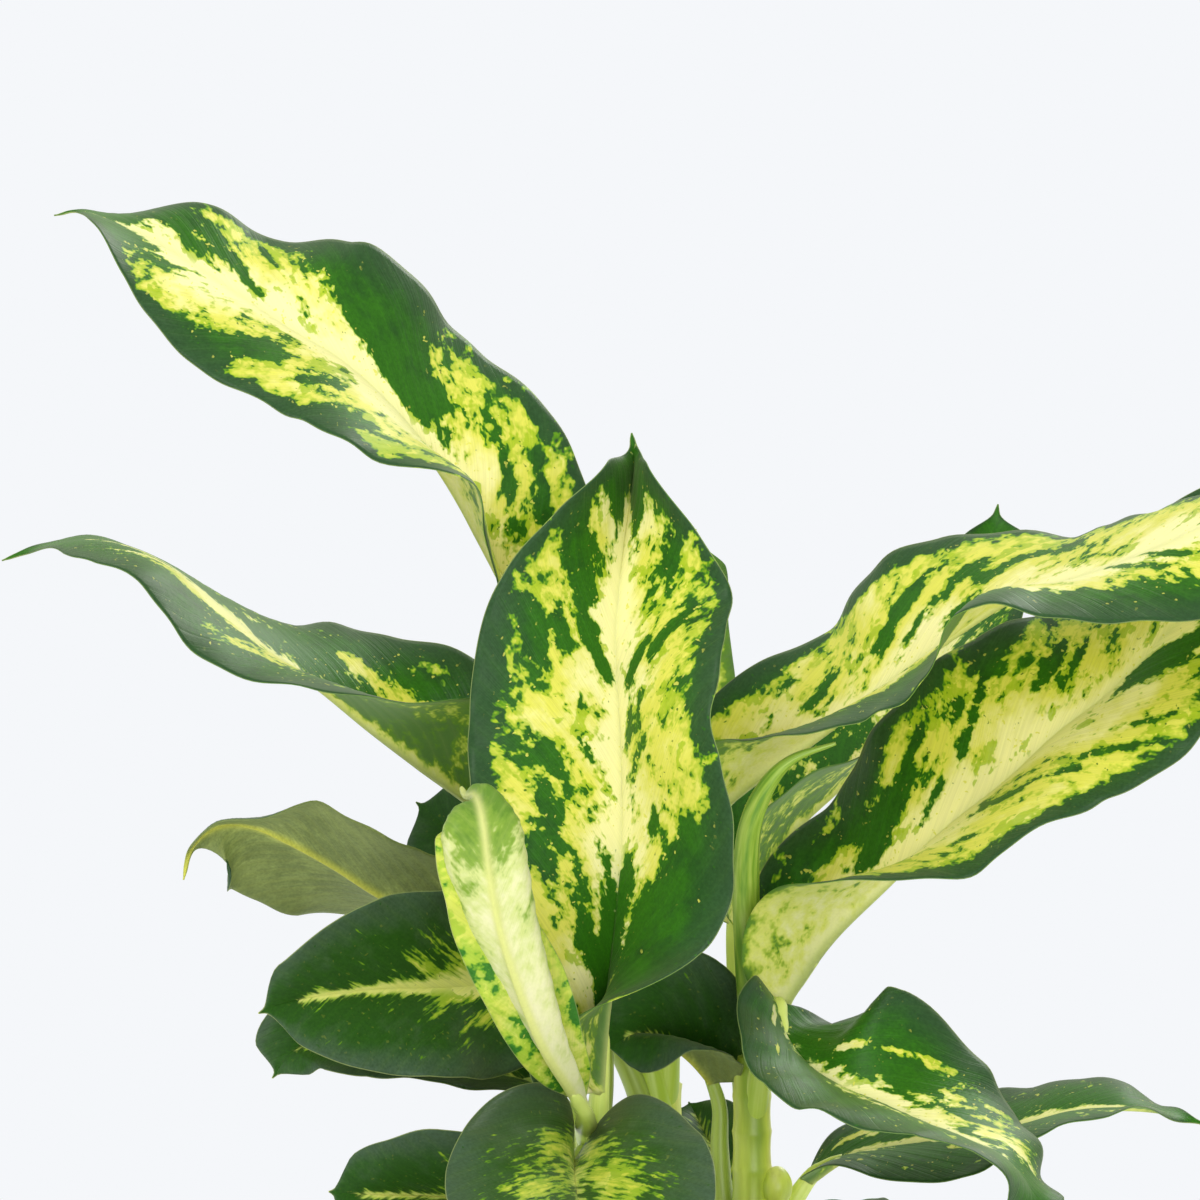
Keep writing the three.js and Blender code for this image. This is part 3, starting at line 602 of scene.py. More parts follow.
def leaf_pattern(tree, green_edge=1.0, feather=0.0, crisp=1.0, blurred=0.45):
    """The leaf's own coordinates and the fields that tell pale tissue from green."""
    run, across, reach = read_layer(tree, "leaf_place")
    bias, seed, pale = read_layer(tree, "leaf_look")
    distance = calc("ABSOLUTE", across)
    share = calc("DIVIDE", distance, reach)
    vein = minus(run, times(distance, minus(VEIN_LEAN, times(distance, VEIN_CURL))))
    layer = plus(times(seed, 7.3), times(calc("GREATER_THAN", across, 0.0), 31.7))
    shift = minus(noise(add("CombineXYZ", {0: run, 1: distance, 2: layer})[0], 0.22), 0.5)
    across_veins = times(vein, 0.5)
    along_veins = times_plus(run, 0.85, times(distance, 0.52))

    def patches(wide, long, offset, detail, roughness, ragged=2.0):
        """Noise whose blotches are wide mm across the side veins and long mm along them."""
        vector = add("CombineXYZ", {0: calc("DIVIDE", times_plus(shift, ragged, across_veins), wide),
                                    1: calc("DIVIDE", times_plus(shift, -ragged, along_veins), long),
                                    2: plus(layer, offset)})[0]
        return minus(noise(vector, 1.0, detail, roughness), 0.5)

    big = patches(16.0, 30.0, 0.0, 2.0, 0.5)
    middle = patches(6.5, 13.0, 11.0, 3.0, 0.6)
    fine = patches(2.9, 5.2, 23.0, 2.0, 0.62)
    threads = patches(1.25, 12.0, 71.0, 2.0, 0.5, 1.0)
    raggedness = add("MapRange", {0: share, 1: 0.2, 2: 0.8, 3: 1.9 - feather, 4: 2.7 - 1.3 * feather})[0]
    field = times_plus(big, 2.1 - feather, pale)
    field = times_plus(middle, 2.4 - feather, field)
    field = times_plus(threads, 0.25 + 3.8 * feather, field)
    field = times_plus(fine, raggedness, field)
    field = times_plus(bell(distance, 4.5), 0.75, field)
    field = plus(plus(field, step_between(share, 0.76, 0.98, -green_edge)), bias)
    field = times(field, step_between(share, 0.35, 0.85, blurred, crisp))
    return SimpleNamespace(
        distance=distance, share=share, reach=reach, field=field, big=big, middle=middle, fine=fine,
        veil=times_plus(field, -0.55, times(patches(9.0, 15.0, 41.0, 3.0, 0.6), 3.9)),
        flecks=patches(1.9, 2.2, 57.0, 1.0, 0.6, 0.0), grain=patches(0.9, 1.2, 83.0, 1.0, 0.6, 0.0),
        line=calc("POWER", calc("ABSOLUTE", calc("SINE", times(vein, math.pi / VEIN_SPACING))), 0.5),
        hair=patches(0.4, 30.0, 37.0, 1.0, 0.5, 0.0))


def thin_tissue(colour, roughness, height, strength):
    """Leaf tissue: a satin skin, and part of the light that comes through the blade."""
    skin = surface(colour, roughness, height, strength, 0.0004, {
        "Specular IOR Level": 0.2, "Sheen Weight": 0.26, "Sheen Roughness": 0.45,
        "Sheen Tint": linear(215, 235, 165)})
    through = add("BsdfTranslucent", {"Color": mix(1.0, colour, linear(255, 250, 130), "MULTIPLY")})[0]
    output(add("MixShader", {0: 0.3, 1: skin, 2: through})[0])


def upper_skin(name, dark, green, yellow, cream, cream_reach=16.0, specks=0.85, **pattern):
    """Upper face: cream near the midrib, yellow-green further out, green veils, dark blotches with flecks."""
    material, tree = new_material(name)
    p = leaf_pattern(tree, **pattern)
    near = calc("EXPONENT", times(p.distance, -1 / cream_reach))
    creamy = plus(plus(near, times(p.big, 1.6)), times(p.fine, 0.5))
    tone = mix(step_between(creamy, 0.2, 0.75), yellow, cream)
    tone = mix(step_between(p.field, 0.42, 0.12, 0.75), tone, green[2])
    tone = mix(step_between(p.veil, 0.04, 0.2, 0.8), tone, green[2])
    tone = mix(step_between(p.field, 0.12, 0.02, 0.9), tone, green[1])
    shade = times_plus(p.middle, 1.6, times(p.share, 0.7))
    deep = mix(step_between(shade, 0.2, 0.75), green[0], dark[1])
    deep = mix(step_between(p.share, 0.6, 1.0), deep, dark[0])
    grained = ramp(plus(p.grain, 0.5), [(0.3, (0.8, 0.84, 0.8, 1)), (0.7, (1.16, 1.12, 1.2, 1))])
    deep = mix(0.9, deep, grained, "MULTIPLY")
    tone = mix(step_between(p.field, 0.03, -0.06), tone, deep)
    rib = times(bell(p.distance, 2.1), step_between(p.field, -0.2, 0.3, 0.9))
    tone = mix(rib, tone, tuple(0.85 * c + 0.15 * g for c, g in zip(cream, green[2])))
    dots = times(step_between(p.flecks, 0.18, 0.23, specks), step_between(p.field, -0.8, -0.2))
    tone = mix(times(dots, step_between(p.share, 0.95, 0.75)), tone, yellow)
    spots = times(step_between(p.flecks, -0.22, -0.28, 0.85), step_between(p.field, 1.1, 0.4))
    tone = mix(spots, tone, green[0])
    tone = mix(times(minus(1.0, p.line), 0.22), tone, cream, "SOFT_LIGHT")
    hairs = ramp(plus(p.hair, 0.5), [(0.3, (0.92, 0.92, 0.92, 1)), (0.65, (1.04, 1.04, 1.04, 1))])
    tone = mix(0.8, tone, hairs, "MULTIPLY")
    from_margin = times(minus(1.0, p.share), p.reach)
    tone = mix(step_between(from_margin, 0.4, 0.12, 0.6), tone, linear(168, 182, 110))
    thin_tissue(tone, 0.42, times_plus(p.line, 0.9, times(p.hair, 0.8)), 0.35)
    return material


def under_skin(name, stops, rib_tone, roughness=0.5, mottle=0.75, **pattern):
    """Under face: duller and greyer, the pattern shows through it, and the midrib stands out pale."""
    material, tree = new_material(name)
    p = leaf_pattern(tree, **pattern)
    tone = ramp(times_plus(p.field, 0.5, 0.5), stops)
    tone = mix(times(bell(p.distance, 1.7), 0.95), tone, rib_tone)
    grained = ramp(times_plus(p.middle, 0.5, plus(p.grain, 0.5)), [
        (0.3, (0.8, 0.8, 0.78, 1)), (0.7, (1.1, 1.1, 1.1, 1))])
    tone = mix(mottle, tone, grained, "MULTIPLY")
    tone = mix(times(minus(1.0, p.line), 0.08), tone, rib_tone)
    thin_tissue(tone, roughness, times_plus(p.line, -0.4, times(p.hair, 0.9)), 0.3)
    return material


def streaks(place, long, wide, layer=0.0):
    """Noise in streaks that are long mm along a stalk and wide mm round it."""
    vector = {0: calc("DIVIDE", place[0], long), 1: calc("DIVIDE", place[1], wide), 2: layer}
    return noise(add("CombineXYZ", vector)[0], 1.0, 3.0)


def stalk_skin(name, low, high):
    """Stalk: smooth and juicy, streaked lengthwise, paler towards the blade."""
    material, tree = new_material(name)
    place = read_layer(tree, "leaf_place")
    streak = streaks(place, 34.0, 1.4, read_layer(tree, "leaf_look")[1])
    tone = ramp(times_plus(minus(streak, 0.5), 1.1, place[2]), [(0.05, low), (0.75, high)])
    output(surface(tone, 0.4, streak, 0.2, 0.0005, {
        "Subsurface Weight": 0.12, "Subsurface Radius": (0.004, 0.005, 0.002)}))
    return material


# ---------------------------------------------------------------------------------------------
# Variegated leaves: full-grown blades with a cream to yellow-green middle, broken up by dark
# strokes along the side veins, and a dark green margin; the stalks are pale green.
DARK_GREEN = (linear(48, 84, 44), linear(34, 84, 20))
GRASS_GREEN = (linear(46, 108, 10), linear(78, 142, 14), linear(168, 194, 34))
UNDER_VARIEGATED = [
    (0.2, linear(104, 146, 70)), (0.42, linear(118, 164, 52)), (0.5, linear(188, 212, 70)),
    (0.62, linear(238, 242, 122)), (1.0, linear(250, 250, 182)),
]
variegated = ("variegated_leaf", [
    upper_skin("variegated_upper", DARK_GREEN, GRASS_GREEN, linear(226, 224, 96), linear(248, 243, 182)),
    under_skin("variegated_under", UNDER_VARIEGATED, linear(206, 216, 130), mottle=0.2),
    stalk_skin("pale_stalk", linear(172, 198, 62), linear(220, 232, 122)),
])
grow_leaf(
    "front_upright_leaf", variegated, width=120, lobes=(14, -34), seed=1, pale=0.46,
    stalk=[(-24, -29, 192), (-22, -36, 212)],
    blade=[
        (-21, -42, 226, 20, 130), (-19, -50, 254, 42, 108), (-16, -54, 284, 32, 52),
        (-13, -55, 318, 22, 42), (-13, -50, 355, 17, 56), (-15, -43, 388, 23, 45), (-14, -37, 410, 29, 34),
        (-12, -31, 430, 47, 49), (-8, -22, 459, 62, 80), (-9, -20, 472, 0, 0),
    ],
    marks=[
        (0.68, 0.2, 9, 5, -1.2), (0.69, 0.45, 5, 6, -1), (0.68, 0.64, 6, 8, -1.1), (0.59, 0.27, 2, 4, -1),
        (0.52, 0.52, 8, 6, -1.1), (0.52, 0.24, 4, 3, -1), (0.42, 0.52, 7, 8, -1.2), (0.36, 0.14, 4, 4, -1),
        (0.35, 0.58, 7, 8, -1.1), (0.33, 0.3, 3, 3, -1), (0.22, 0.22, 7, 9, -1.2),
        (0.79, 0.45, 12, 9, -0.9), (0.63, 0.9, 7, 18, -1), (0.5, 0.95, 5, 22, -0.9),
        (0.64, -0.22, 7, 5, -1.1), (0.68, -0.5, 9, 4, -1), (0.56, -0.15, 3, 5, -1),
        (0.57, -0.28, 2, 6, -1), (0.41, -0.33, 3, 6, -1), (0.38, -0.62, 5, 7, -1),
        (0.62, -0.92, 5, 24, -0.9), (0.27, -0.42, 14, 20, -1.7), (0.3, -0.8, 14, 24, -1.7),
        (0.2, -0.7, 18, 16, -1.4), (0.16, 0, 6, 42, -2.5), (0.84, 0.85, 14, 12, -1),
        (0.83, -0.75, 12, 10, -1), (0.88, 0.3, 8, 8, -1.2), (0.88, -0.3, 8, 8, -1.2),
    ])
grow_leaf(
    "high_left_leaf", variegated, width=108, seed=2, pale=0.4, point=(0.925, 0.975, 0.93),
    stalk=[(3, 29, 212), (-3, 38, 270), (-13, 38, 317)],
    blade=[
        (-37, 33, 372, 40, 40), (-45, 28, 391, 62, 20), (-56, 22, 411, 74, 0), (-66, 14, 430, 90, -6),
        (-80, 9, 455, 101, -27), (-97, 5, 478, 71, -48), (-118, 4, 498, 61, -37), (-139, 4, 511, 57, -36),
        (-162, 6, 526, 53, -59), (-189, 10, 543, 62, -55), (-216, 14, 555, 81, -81), (-229, 16, 554, 0, 0),
    ],
    marks=[
        (0.55, -0.5, 17, 22, -1.7), (0.5, -0.3, 11, 16, -1.6), (0.57, -0.85, 10, 24, -1.6),
        (0.3, -0.42, 3.75, 5.25, -1), (0.29, -0.68, 3.75, 6, -1), (0.33, -0.88, 3.75, 6.75, -1),
        (0.23, -0.6, 4.5, 6.75, -1), (0.72, -0.62, 6, 3, -1.1), (0.73, -0.25, 11, 5, -1.2),
        (0.83, -0.62, 9, 9, -1), (0.67, 0.55, 10, 8, -1.3), (0.57, 0.52, 7, 5, -1.1),
        (0.5, 0.75, 6, 10, -1), (0.75, 0.9, 8, 22, -1.1), (0.55, 0.95, 6, 26, -1.1),
        (0.93, 0.6, 20, 14, -1.2), (0.9, -0.8, 14, 12, -1), (0.8, 0.2, 6, 4, -0.8),
    ])
grow_leaf(
    "long_left_leaf", variegated, width=110, seed=3, pale=-0.55, stalk_radius=8, point=(0.84, 0.98, 0.92),
    stalk=[(3, 27, 200), (-9, 24, 250), (-28, 24, 285)],
    blade=[
        (-48, 20, 307, 60, 60), (-69, 8, 329, 128, 6), (-89, -2, 345, 148, -16), (-108, -8, 360, 118, -51),
        (-126, -12, 375, 98, -68), (-145, -14, 389, 80, -80), (-164, -14, 406, 74, -91),
        (-183, -12, 421, 83, -99), (-201, -8, 429, 80, -100), (-218, -5, 431, 81, -90),
        (-234, -3, 428, 78, -78), (-248, 0, 423, 0, 0),
    ],
    marks=[
        (0.3, -0.3, 13, 14, 1.4), (0.22, -0.3, 9, 7, 1), (0.42, -0.45, 4, 5, 1), (0.64, 0.12, 10, 24, 1.2),
        (0.55, 0.4, 13, 11, 1.15), (0.52, 0.12, 8, 14, 1.1), (0.7, 0.3, 9, 8, 0.9),
        (0.2, 0.5, 20, 16, 0.5),
    ])
grow_leaf(
    "right_top_leaf", variegated, width=110, seed=4, pale=0.58,
    stalk=[(4, 29, 205), (6, 20, 258), (8, 10, 300)],
    blade=[
        (16, 0, 322, -30, 100), (36, -8, 339, -20, 132), (55, -16, 353, -38, 116), (73, -24, 367, -56, 98),
        (92, -32, 382, -46, 86), (111, -42, 397, -57, 86), (132, -52, 411, -75, 100),
        (155, -62, 419, -76, 85), (180, -72, 429, -76, 65), (205, -82, 441, -78, 38),
        (229, -92, 453, -60, 45), (245, -97, 462, 0, 0),
    ],
    marks=[
        (0.37, 0.4, 8, 6, -1.1), (0.4, 0.25, 6, 4, -1.1), (0.41, 0.56, 6, 4, -1.1),
        (0.45, 0.15, 5, 6, -1.1), (0.48, 0.5, 7, 4, -1.1), (0.54, 0.5, 7, 4, -1.1),
        (0.6, 0.62, 6, 6, -1.1), (0.67, 0.9, 5, 7, -1.1), (0.2, 0.6, 4, 4, -0.9), (0.24, 0.35, 4, 4, -1),
        (0.16, 0.4, 3, 4, -0.9), (0.4, 0.95, 7, 20, -1.3), (0.15, 0.95, 8, 24, -1.2),
        (0.7, -0.1, 8, 5, -1.1), (0.76, -0.12, 8, 5, -1.1), (0.82, 0.15, 7, 5, -1),
        (0.3, -0.7, 12, 50, -1.6), (0.55, -0.75, 12, 50, -1.6), (0.75, -0.8, 11, 40, -1.6),
    ])
grow_leaf(
    "back_right_leaf", variegated, width=96, seed=5, pale=-0.1,
    stalk=[(37, 0, 190), (33, 22, 240)],
    blade=[
        (31, 35, 280, -10, 115), (42, 42, 301, -15, 120), (57, 50, 319, -25, 112), (75, 58, 335, -38, 95),
        (94, 66, 356, -50, 75), (110, 74, 377, -52, 65), (125, 82, 402, -62, 60), (133, 88, 424, -64, 50),
        (136, 92, 441, 0, 0),
    ],
    marks=[
        (0.9, 0, 30, 34, -1.6), (0.5, -0.9, 10, 60, -0.8),
    ])
grow_leaf(
    "right_wide_leaf", variegated, width=112, seed=6, pale=0.6,
    stalk=[(37, -1, 212), (43, -4, 236)],
    blade=[
        (48, -12, 255, -75, 150), (65, -20, 280, -20, 150), (85, -28, 301, -43, 116),
        (109, -34, 324, -32, 76), (131, -38, 342, -29, 73), (150, -40, 360, -38, 64),
        (170, -42, 376, -52, 57), (192, -44, 399, -62, 50), (212, -46, 422, -40, 42),
        (230, -48, 442, -25, 25), (244, -50, 456, 0, 0),
    ],
    marks=[
        (0.27, 0.38, 11, 12, -1.7), (0.25, 0.7, 10, 14, -1.6), (0.3, 0.9, 6, 14, -0.9),
        (0.42, 0.95, 4, 14, -0.8), (0.49, 0.6, 13, 3, -1.2), (0.58, 0.5, 9, 5, -1.2),
        (0.62, 0.45, 9, 4, -1.1), (0.37, 0.65, 4, 5, -1), (0.42, 0.4, 5, 4, -1.1),
        (0.34, 0.22, 5, 4, -1.1), (0.45, 0.62, 4, 4, -1), (0.53, 0.85, 7, 8, -1.1),
        (0.68, -0.12, 8, 14, -1.3), (0.72, -0.3, 8, 12, -1.1), (0.5, -0.5, 9, 4, -1),
        (0.58, -0.6, 9, 4, -1), (0.63, -0.55, 9, 4, -1), (0.42, -0.3, 7, 4, -1), (0.36, -0.5, 8, 4, -0.9),
        (0.3, -0.95, 7, 40, -1), (0.55, -0.95, 6, 40, -1.1), (0.14, 0.7, 12, 14, -1),
    ])
grow_leaf(
    "front_right_leaf", variegated, width=94, lobes=(6, 16), seed=7, pale=-0.85,
    stalk=[(37, -2, 205), (41, -10, 238)],
    blade=[
        (46, -23, 257, -40, 70), (49, -34, 246, -30, 73), (57, -45, 236, -17, 80), (68, -57, 230, -16, 81),
        (83, -70, 225, -50, 80), (97, -82, 220, -66, 86), (113, -93, 215, -77, 88),
        (127, -102, 209, -79, 85), (136, -107, 198, -74, 72), (140, -110, 183, 0, 0),
    ],
    marks=[
        (0.56, 0.1, 34, 40, 1.2), (0.66, -0.4, 8, 12, 1.1), (0.3, 0.38, 7, 3, 1.4),
        (0.42, 0.52, 6, 3, 1.3), (0.48, 0.62, 5, 7, 1.2), (0.36, 0.55, 3, 2, 1.2), (0.2, -0.5, 3, 2, 1.5),
        (0.08, -0.3, 3, 4, 1.3), (0.45, -0.15, 4, 30, 0.8), (0.5, 0.35, 2, 9, -1.1),
        (0.62, 0.3, 2, 10, -1), (0.7, 0.1, 2, 9, -0.9),
    ])
grow_leaf(
    "right_low_leaf", variegated, width=72, seed=8, pale=-0.7, point=(0.82, 0.97, 0.92),
    stalk=[(37, 0, 148), (50, 4, 172)],
    blade=[
        (59, 4, 186, -80, 110), (72, 0, 195, -70, 98), (88, -4, 199, -72, 80), (105, -8, 202, -71, 72),
        (123, -12, 206, -75, 71), (140, -16, 210, -78, 87), (157, -20, 215, -76, 90),
        (174, -24, 217, -77, 90), (192, -28, 216, -88, 92), (210, -32, 211, 0, 0),
    ],
    marks=[
        (0.13, 0.5, 5, 4, 1.4), (0.17, 0.4, 3, 3, 1.2), (0.3, 0.05, 3, 30, 0.9), (0.62, 0, 2, 30, 1),
        (0.4, -0.3, 4, 5, 1),
    ])
grow_leaf(
    "back_upright_leaf", variegated, width=80, faces=TOWARDS_BACK, seed=9, pale=0.1,
    stalk=[(4, 30, 205), (4, 48, 242)],
    blade=[
        (3, 57, 264, 35, 35), (0, 67, 291, 35, 35), (-3, 78, 321, 35, 35), (0, 88, 352, 35, 35),
        (5, 95, 383, 35, 35), (12, 98, 409, 35, 35), (17, 98, 431, 0, 0),
    ])


# ---------------------------------------------------------------------------------------------
# Dark leaves: older, lower blades, almost wholly blue-green with a few pale flecks and at most
# a small flame of yellow along the midrib; grey-green below.
BLUE_GREEN = (linear(66, 92, 64), linear(58, 92, 48))
MOSS_GREEN = (linear(38, 84, 14), linear(80, 136, 18), linear(150, 184, 36))
UNDER_DARK = [(0.1, linear(134, 150, 84)), (0.5, linear(156, 170, 96)), (1.0, linear(200, 210, 128))]
dark = ("dark_leaf", [
    upper_skin("dark_upper", BLUE_GREEN, MOSS_GREEN, linear(214, 218, 80), linear(234, 234, 138),
               cream_reach=7.0, specks=0.1, feather=0.75, crisp=0.35, blurred=0.3),
    under_skin("dark_under", UNDER_DARK, linear(220, 220, 92), feather=0.5),
    stalk_skin("olive_stalk", linear(130, 148, 50), linear(170, 192, 82)),
])
grow_leaf(
    "under_left_leaf", dark, slot="grey_green_leaf", width=76, faces=TOWARDS_BACK, seed=11, pale=-0.6,
    point=(0.8, 0.96, 0.9),
    stalk=[(2, 27, 186), (-8, 20, 222), (-26, 16, 254)],
    blade=[
        (-44, 12, 269, 20, 30), (-63, 10, 278, -20, 50), (-82, 8, 285, -38, 60), (-103, 6, 294, -47, 65),
        (-122, 4, 306, -56, 47), (-140, 2, 316, -51, 36), (-154, 0, 322, -77, 27),
        (-167, -3, 322, -84, 12), (-176, -6, 314, -80, 68), (-179, -8, 302, 0, 0),
    ])
grow_leaf(
    "dark_left_leaf", dark, width=78, seed=12, pale=-0.75,
    stalk=[(-24, -28, 196), (-20, -14, 226), (-21, -5, 250)],
    blade=[
        (-30, -5, 262, 20, 20), (-46, -14, 265, 18, 8), (-62, -24, 264, 17, 4), (-83, -36, 264, 36, 11),
        (-103, -48, 265, 36, 15), (-123, -60, 264, 30, 19), (-138, -68, 262, 22, 26),
        (-147, -74, 259, 0, 0),
    ],
    marks=[
        (0.2, 0, 8, 28, 1.3), (0.45, 0, 3, 34, 1.3), (0.36, -0.3, 11, 10, 0.95), (0.5, -0.25, 8, 6, 0.8),
        (0.45, 0.22, 8, 6, 0.85), (0.3, 0.35, 9, 9, 0.85), (0.15, 0.45, 10, 9, 0.6),
        (0.7, 0, 1.2, 22, 1.2),
    ])
grow_leaf(
    "behind_left_leaf", dark, width=66, seed=13, pale=-0.8,
    stalk=[(-24, -27, 184), (-30, -14, 206)],
    blade=[
        (-40, -6, 222, 80, -20), (-57, -4, 227, 84, -30), (-78, -8, 233, 82, -30),
        (-99, -14, 237, 80, -30), (-119, -22, 240, 78, -30), (-135, -30, 240, 60, -30),
        (-144, -36, 230, 0, 0),
    ])
grow_leaf(
    "low_left_leaf", dark, width=76, seed=14, pale=-0.8,
    stalk=[(-24, -28, 160)],
    blade=[
        (-39, -29, 178, 45, 40), (-54, -33, 182, 45, 42), (-72, -38, 185, 45, 42), (-90, -44, 187, 40, 40),
        (-107, -50, 188, 30, 30), (-122, -56, 190, 0, 0),
    ],
    marks=[
        (0.4, 0, 2, 60, 0.8),
    ])
grow_leaf(
    "low_front_leaf", dark, slot="variegated_leaf", width=108, lobes=(42, 40), faces=(0, -0.5, 0.87),
    seed=10, pale=-0.75,
    stalk=[(-24, -29, 182), (-26, -44, 202)],
    blade=[
        (-31, -64, 201, 54, 94), (-30, -92, 198, 41, 48), (-28, -122, 191, 28, 28),
        (-27, -150, 181, 22, 22), (-25, -172, 169, 16, 16), (-24, -188, 155, 0, 0),
    ],
    marks=[
        (0.3, 0.34, 17, 26, 0.9), (0.28, -0.34, 17, 26, 0.9), (0.46, 0.32, 12, 16, 0.75),
        (0.46, -0.3, 12, 16, 0.75), (0.08, 0.3, 10, 12, 0.7), (0.08, -0.3, 10, 12, 0.7),
    ])
grow_leaf(
    "back_left_leaf", dark, width=76, seed=15, pale=-0.8,
    stalk=[(4, 29, 190), (-5, 46, 222)],
    blade=[
        (-16, 57, 246, 20, 20), (-31, 68, 265, 20, 20), (-46, 78, 284, 20, 20), (-64, 90, 300, 20, 20),
        (-80, 98, 312, 15, 15), (-94, 106, 322, 0, 0),
    ])
grow_leaf(
    "bent_centre_leaf", dark, width=74, seed=16, pale=-1.05,
    stalk=[(35, 1, 148), (27, 8, 172), (25, 11, 196), (25, 12, 212)],
    blade=[
        (22, 11, 223, 120, 10), (14, 6, 232, 118, 5), (4, -3, 240, 105, 0), (-7, -15, 244, 85, 0),
        (-18, -26, 240, 0, 0),
    ])
grow_leaf(
    "low_back_leaf", dark, width=38, faces=(0, -0.8, 0.6), seed=17, pale=-0.8,
    stalk=[(36, 1, 156), (34, 20, 172)],
    blade=[
        (30, 36, 180, 25, 25), (26, 48, 187, 25, 25), (21, 60, 194, 20, 20), (17, 70, 201, 20, 20),
        (14, 77, 206, 0, 0),
    ])
grow_leaf(
    "low_right_leaf", dark, width=80, lobes=(20, 20), faces=(0, -0.45, 0.9), seed=18, pale=-0.7,
    stalk=[(37, 0, 148)],
    blade=[
        (39, -20, 164, 30, 30), (45, -45, 166, 28, 28), (52, -75, 168, 24, 24), (60, -102, 166, 20, 20),
        (67, -125, 160, 16, 16), (73, -142, 151, 0, 0),
    ])
grow_leaf(
    "back_low_leaf", dark, width=76, lobes=(14, 14), faces=(0, 0.45, 0.9), seed=19, pale=-0.6,
    stalk=[(4, 28, 176), (0, 42, 212)],
    blade=[
        (-5, 58, 228, 30, 30), (-9, 88, 238, 28, 28), (-14, 120, 246, 24, 24), (-19, 152, 246, 20, 20),
        (-23, 180, 238, 16, 16), (-26, 205, 224, 12, 12), (-28, 222, 204, 0, 0),
    ],
    marks=[
        (0.35, 0, 6, 40, 1),
    ])


# ---------------------------------------------------------------------------------------------
# Young leaves: one blade still half rolled, showing its pale cream under face, and the newest
# one rolled tightly into a spear beside its neighbour's stalk.
LIGHT_GREEN = (linear(58, 126, 36), linear(64, 132, 38))
SPRING_GREEN = (linear(76, 146, 34), linear(112, 168, 42), linear(168, 200, 60))
YOUNG_UNDER = [
    (0.15, linear(106, 148, 44)), (0.42, linear(142, 176, 62)), (0.56, linear(214, 224, 140)),
    (0.8, linear(236, 237, 184)), (1.0, linear(242, 240, 198)),
]
young = ("young_leaf", [
    upper_skin("young_upper", LIGHT_GREEN, SPRING_GREEN, linear(214, 222, 96), linear(238, 238, 166),
               green_edge=0.15),
    under_skin("young_under", YOUNG_UNDER, linear(226, 230, 142), 0.42, 0.15,
               green_edge=0.15, feather=0.15, crisp=0.6),
    stalk_skin("young_stalk", linear(166, 192, 76), linear(210, 222, 120)),
])
grow_leaf(
    "half_rolled_leaf", young, width=108, faces=TOWARDS_BACK, seed=20, pale=0.6, arches=(195, 130),
    halves=(1, 0.85), roll=(0.18, 0.5, 0.12), point=(0.72, 0.95, 0.85), belly=1.6, ripple=(0, 1, 0),
    stalk=[(-24, -30, 203), (-26, -54, 214)],
    blade=[
        (-27, -80, 224, 80, 115), (-32, -95, 234, 95, 128), (-41, -109, 250, 97, 126),
        (-49, -117, 270, 97, 112), (-57, -122, 295, 101, 84), (-61, -124, 316, 104, 62),
        (-63, -122, 332, 104, 50), (-65, -113, 340, 98, 40), (-67, -101, 342, 90, 35),
        (-70, -89, 341, 82, 35), (-72, -79, 343, 0, 0),
    ],
    marks=[
        (0.3, 0.75, 6, 7, -1), (0.2, 0.65, 5, 5, -0.9), (0.42, 0.85, 5, 6, -0.9), (0.12, 0.8, 5, 5, -0.8),
        (0.8, 0, 60, 38, -1.9), (0.5, -0.8, 7, 5, -0.8), (0.58, 0.3, 7, 3, -0.8), (0.62, -0.4, 9, 3, -0.9),
        (0.25, -0.9, 6, 9, -0.9),
    ])

# Each row of the spear is x, y, z and its radius.
SPEAR = [
    (37, -3, 236, 4.4), (36, -5, 254, 5), (35, -10, 274, 5.4), (34, -22, 300, 5.4), (35, -34, 323, 4.8),
    (41, -42, 340, 3.6), (51, -46, 351, 2), (67, -48, 357, 0.8),
]
SPEAR_RINGS = 140
SPEAR_SIDES = 40
SPEAR_WRAP = 0.16


def spear_skin():
    """Rolled leaf: pale green streaks, and the darker seam where the roll's free edge lies."""
    material, tree = new_material("spear_skin")
    place = read_layer(tree, "leaf_place")
    streak = streaks(place, 26.0, 2.0)
    seam = calc("LESS_THAN", calc("ABSOLUTE", minus(place[1], 0.5)), 0.22)
    tone = ramp(streak, [
        (0.35, linear(112, 158, 46)), (0.52, linear(158, 190, 72)), (0.7, linear(192, 212, 108))])
    output(surface(mix(seam, tone, linear(92, 132, 44)), 0.4, streak, 0.2, 0.0005))
    return material


# The radius shrinks step by step round the roll, so that its free edge stands proud.
spear_shares = np.linspace(0, 1, SPEAR_RINGS)
spear_places, spear_length = even_places(SPEAR, spear_shares)
spear_radii = spline([[r[3]] for r in SPEAR], spear_places)
free = (np.arange(SPEAR_SIDES) / SPEAR_SIDES + 0.12 * np.sin(3 * spear_shares)[:, None]) % 1.0
spear_points, spear_faces = closed(
    tube(SPEAR, spear_shares, spear_radii * (1 - SPEAR_WRAP * free), SPEAR_SIDES))
spear = mesh_piece("spear_leaf", spear_points, spear_faces, [spear_skin()])
write_layer(spear, "leaf_place", tube_places(spear_shares, spear_length, (free * STALK_TURN).ravel()))
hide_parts("leaf_spear")
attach(spear, "root")


# ---------------------------------------------------------------------------------------------
# Place and light: a bright white studio, a pale round floor that melts into the white, one large
# soft lamp from the upper left, one from behind that glows through the blades, and a low one in front.
STUDIO_WHITE = linear(245, 247, 250)
FLOOR_RADIUS = 1.05
FLOOR_DROP = 0.0004
CAMERA_PLACE = (-0.0209, -2.3967, 0.5336)
CAMERA_TILT = 87.0
CAMERA_LENS = 189.5


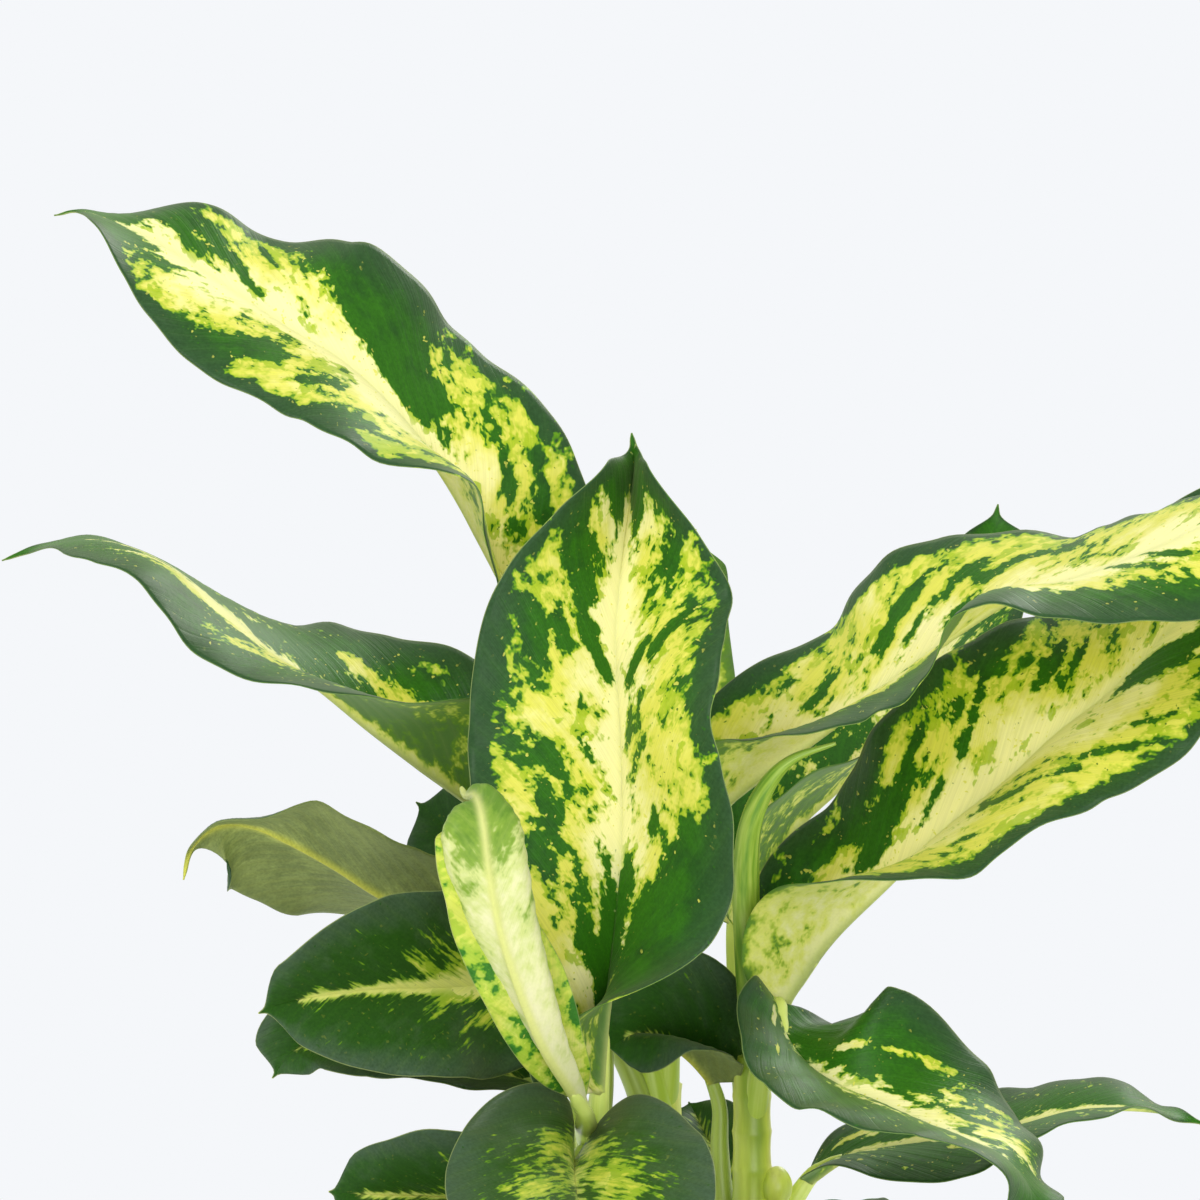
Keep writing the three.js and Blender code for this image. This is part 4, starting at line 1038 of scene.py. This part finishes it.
def pale_floor():
    """Matt pale floor that fades into the white of the studio from its middle out."""
    material, tree = new_material("pale_floor")
    place = object_place(tree)
    x, y, _ = add("SeparateXYZ", {"Vector": place})
    radius = calc("SQRT", plus(calc("POWER", x, 2.0), calc("POWER", y, 2.0)))
    tone = ramp(noise(place, 3.0), [(0.3, linear(238, 239, 241)), (0.7, linear(242, 243, 245))])
    matt = add("BsdfPrincipled", {"Base Color": tone, "Roughness": 0.9})[0]
    white = add("Emission", {"Color": STUDIO_WHITE, "Strength": 1.0}, tree)[0]
    output(add("MixShader", {0: step_between(radius, 0.25, 0.9), 1: matt, 2: white})[0])
    return material


disc = bmesh.new()
bmesh.ops.create_circle(disc, cap_ends=True, segments=96, radius=FLOOR_RADIUS)
floor_mesh = bpy.data.meshes.new("studio_floor")
disc.to_mesh(floor_mesh)
disc.free()
floor_mesh.materials.append(pale_floor())
floor = bpy.data.objects.new("studio_floor", floor_mesh)
floor.location.z = -FLOOR_DROP
bpy.context.scene.collection.objects.link(floor)

world = bpy.data.worlds.new("studio")
bpy.context.scene.world = world
world.use_nodes = True
world.node_tree.nodes["Background"].inputs["Color"].default_value = STUDIO_WHITE
world.node_tree.nodes["Background"].inputs["Strength"].default_value = 1.0


def soft_lamp(name, place, target, size, power, colour):
    light = bpy.data.lights.new(name, "AREA")
    light.shape = "DISK"
    light.size = size
    light.energy = power
    light.color = colour
    lamp = bpy.data.objects.new(name, light)
    lamp.location = place
    lamp.rotation_euler = (Vector(target) - Vector(place)).to_track_quat("-Z", "Y").to_euler()
    bpy.context.scene.collection.objects.link(lamp)


soft_lamp("key_lamp", (-1.1, -1.6, 2.0), (0, 0, 0.35), 1.2, 31.0, (1.0, 0.99, 0.97))
soft_lamp("back_lamp", (0.9, 1.5, 1.6), (0, 0, 0.4), 1.0, 18.0, (1.0, 1.0, 0.98))
soft_lamp("fill_lamp", (0.5, -2.3, 0.25), (0, 0, 0.4), 1.4, 21.0, (1.0, 1.0, 1.0))

camera_data = bpy.data.cameras.new("camera")
camera_data.sensor_width = 36.0
camera_data.lens = CAMERA_LENS
camera = bpy.data.objects.new("camera", camera_data)
camera.location = CAMERA_PLACE
camera.rotation_euler = (math.radians(CAMERA_TILT), 0.0, 0.0)
bpy.context.scene.collection.objects.link(camera)
bpy.context.scene.camera = camera
bpy.context.scene.view_settings.view_transform = "Standard"
bpy.context.scene.view_settings.look = "None"

bpy.context.view_layer.update()
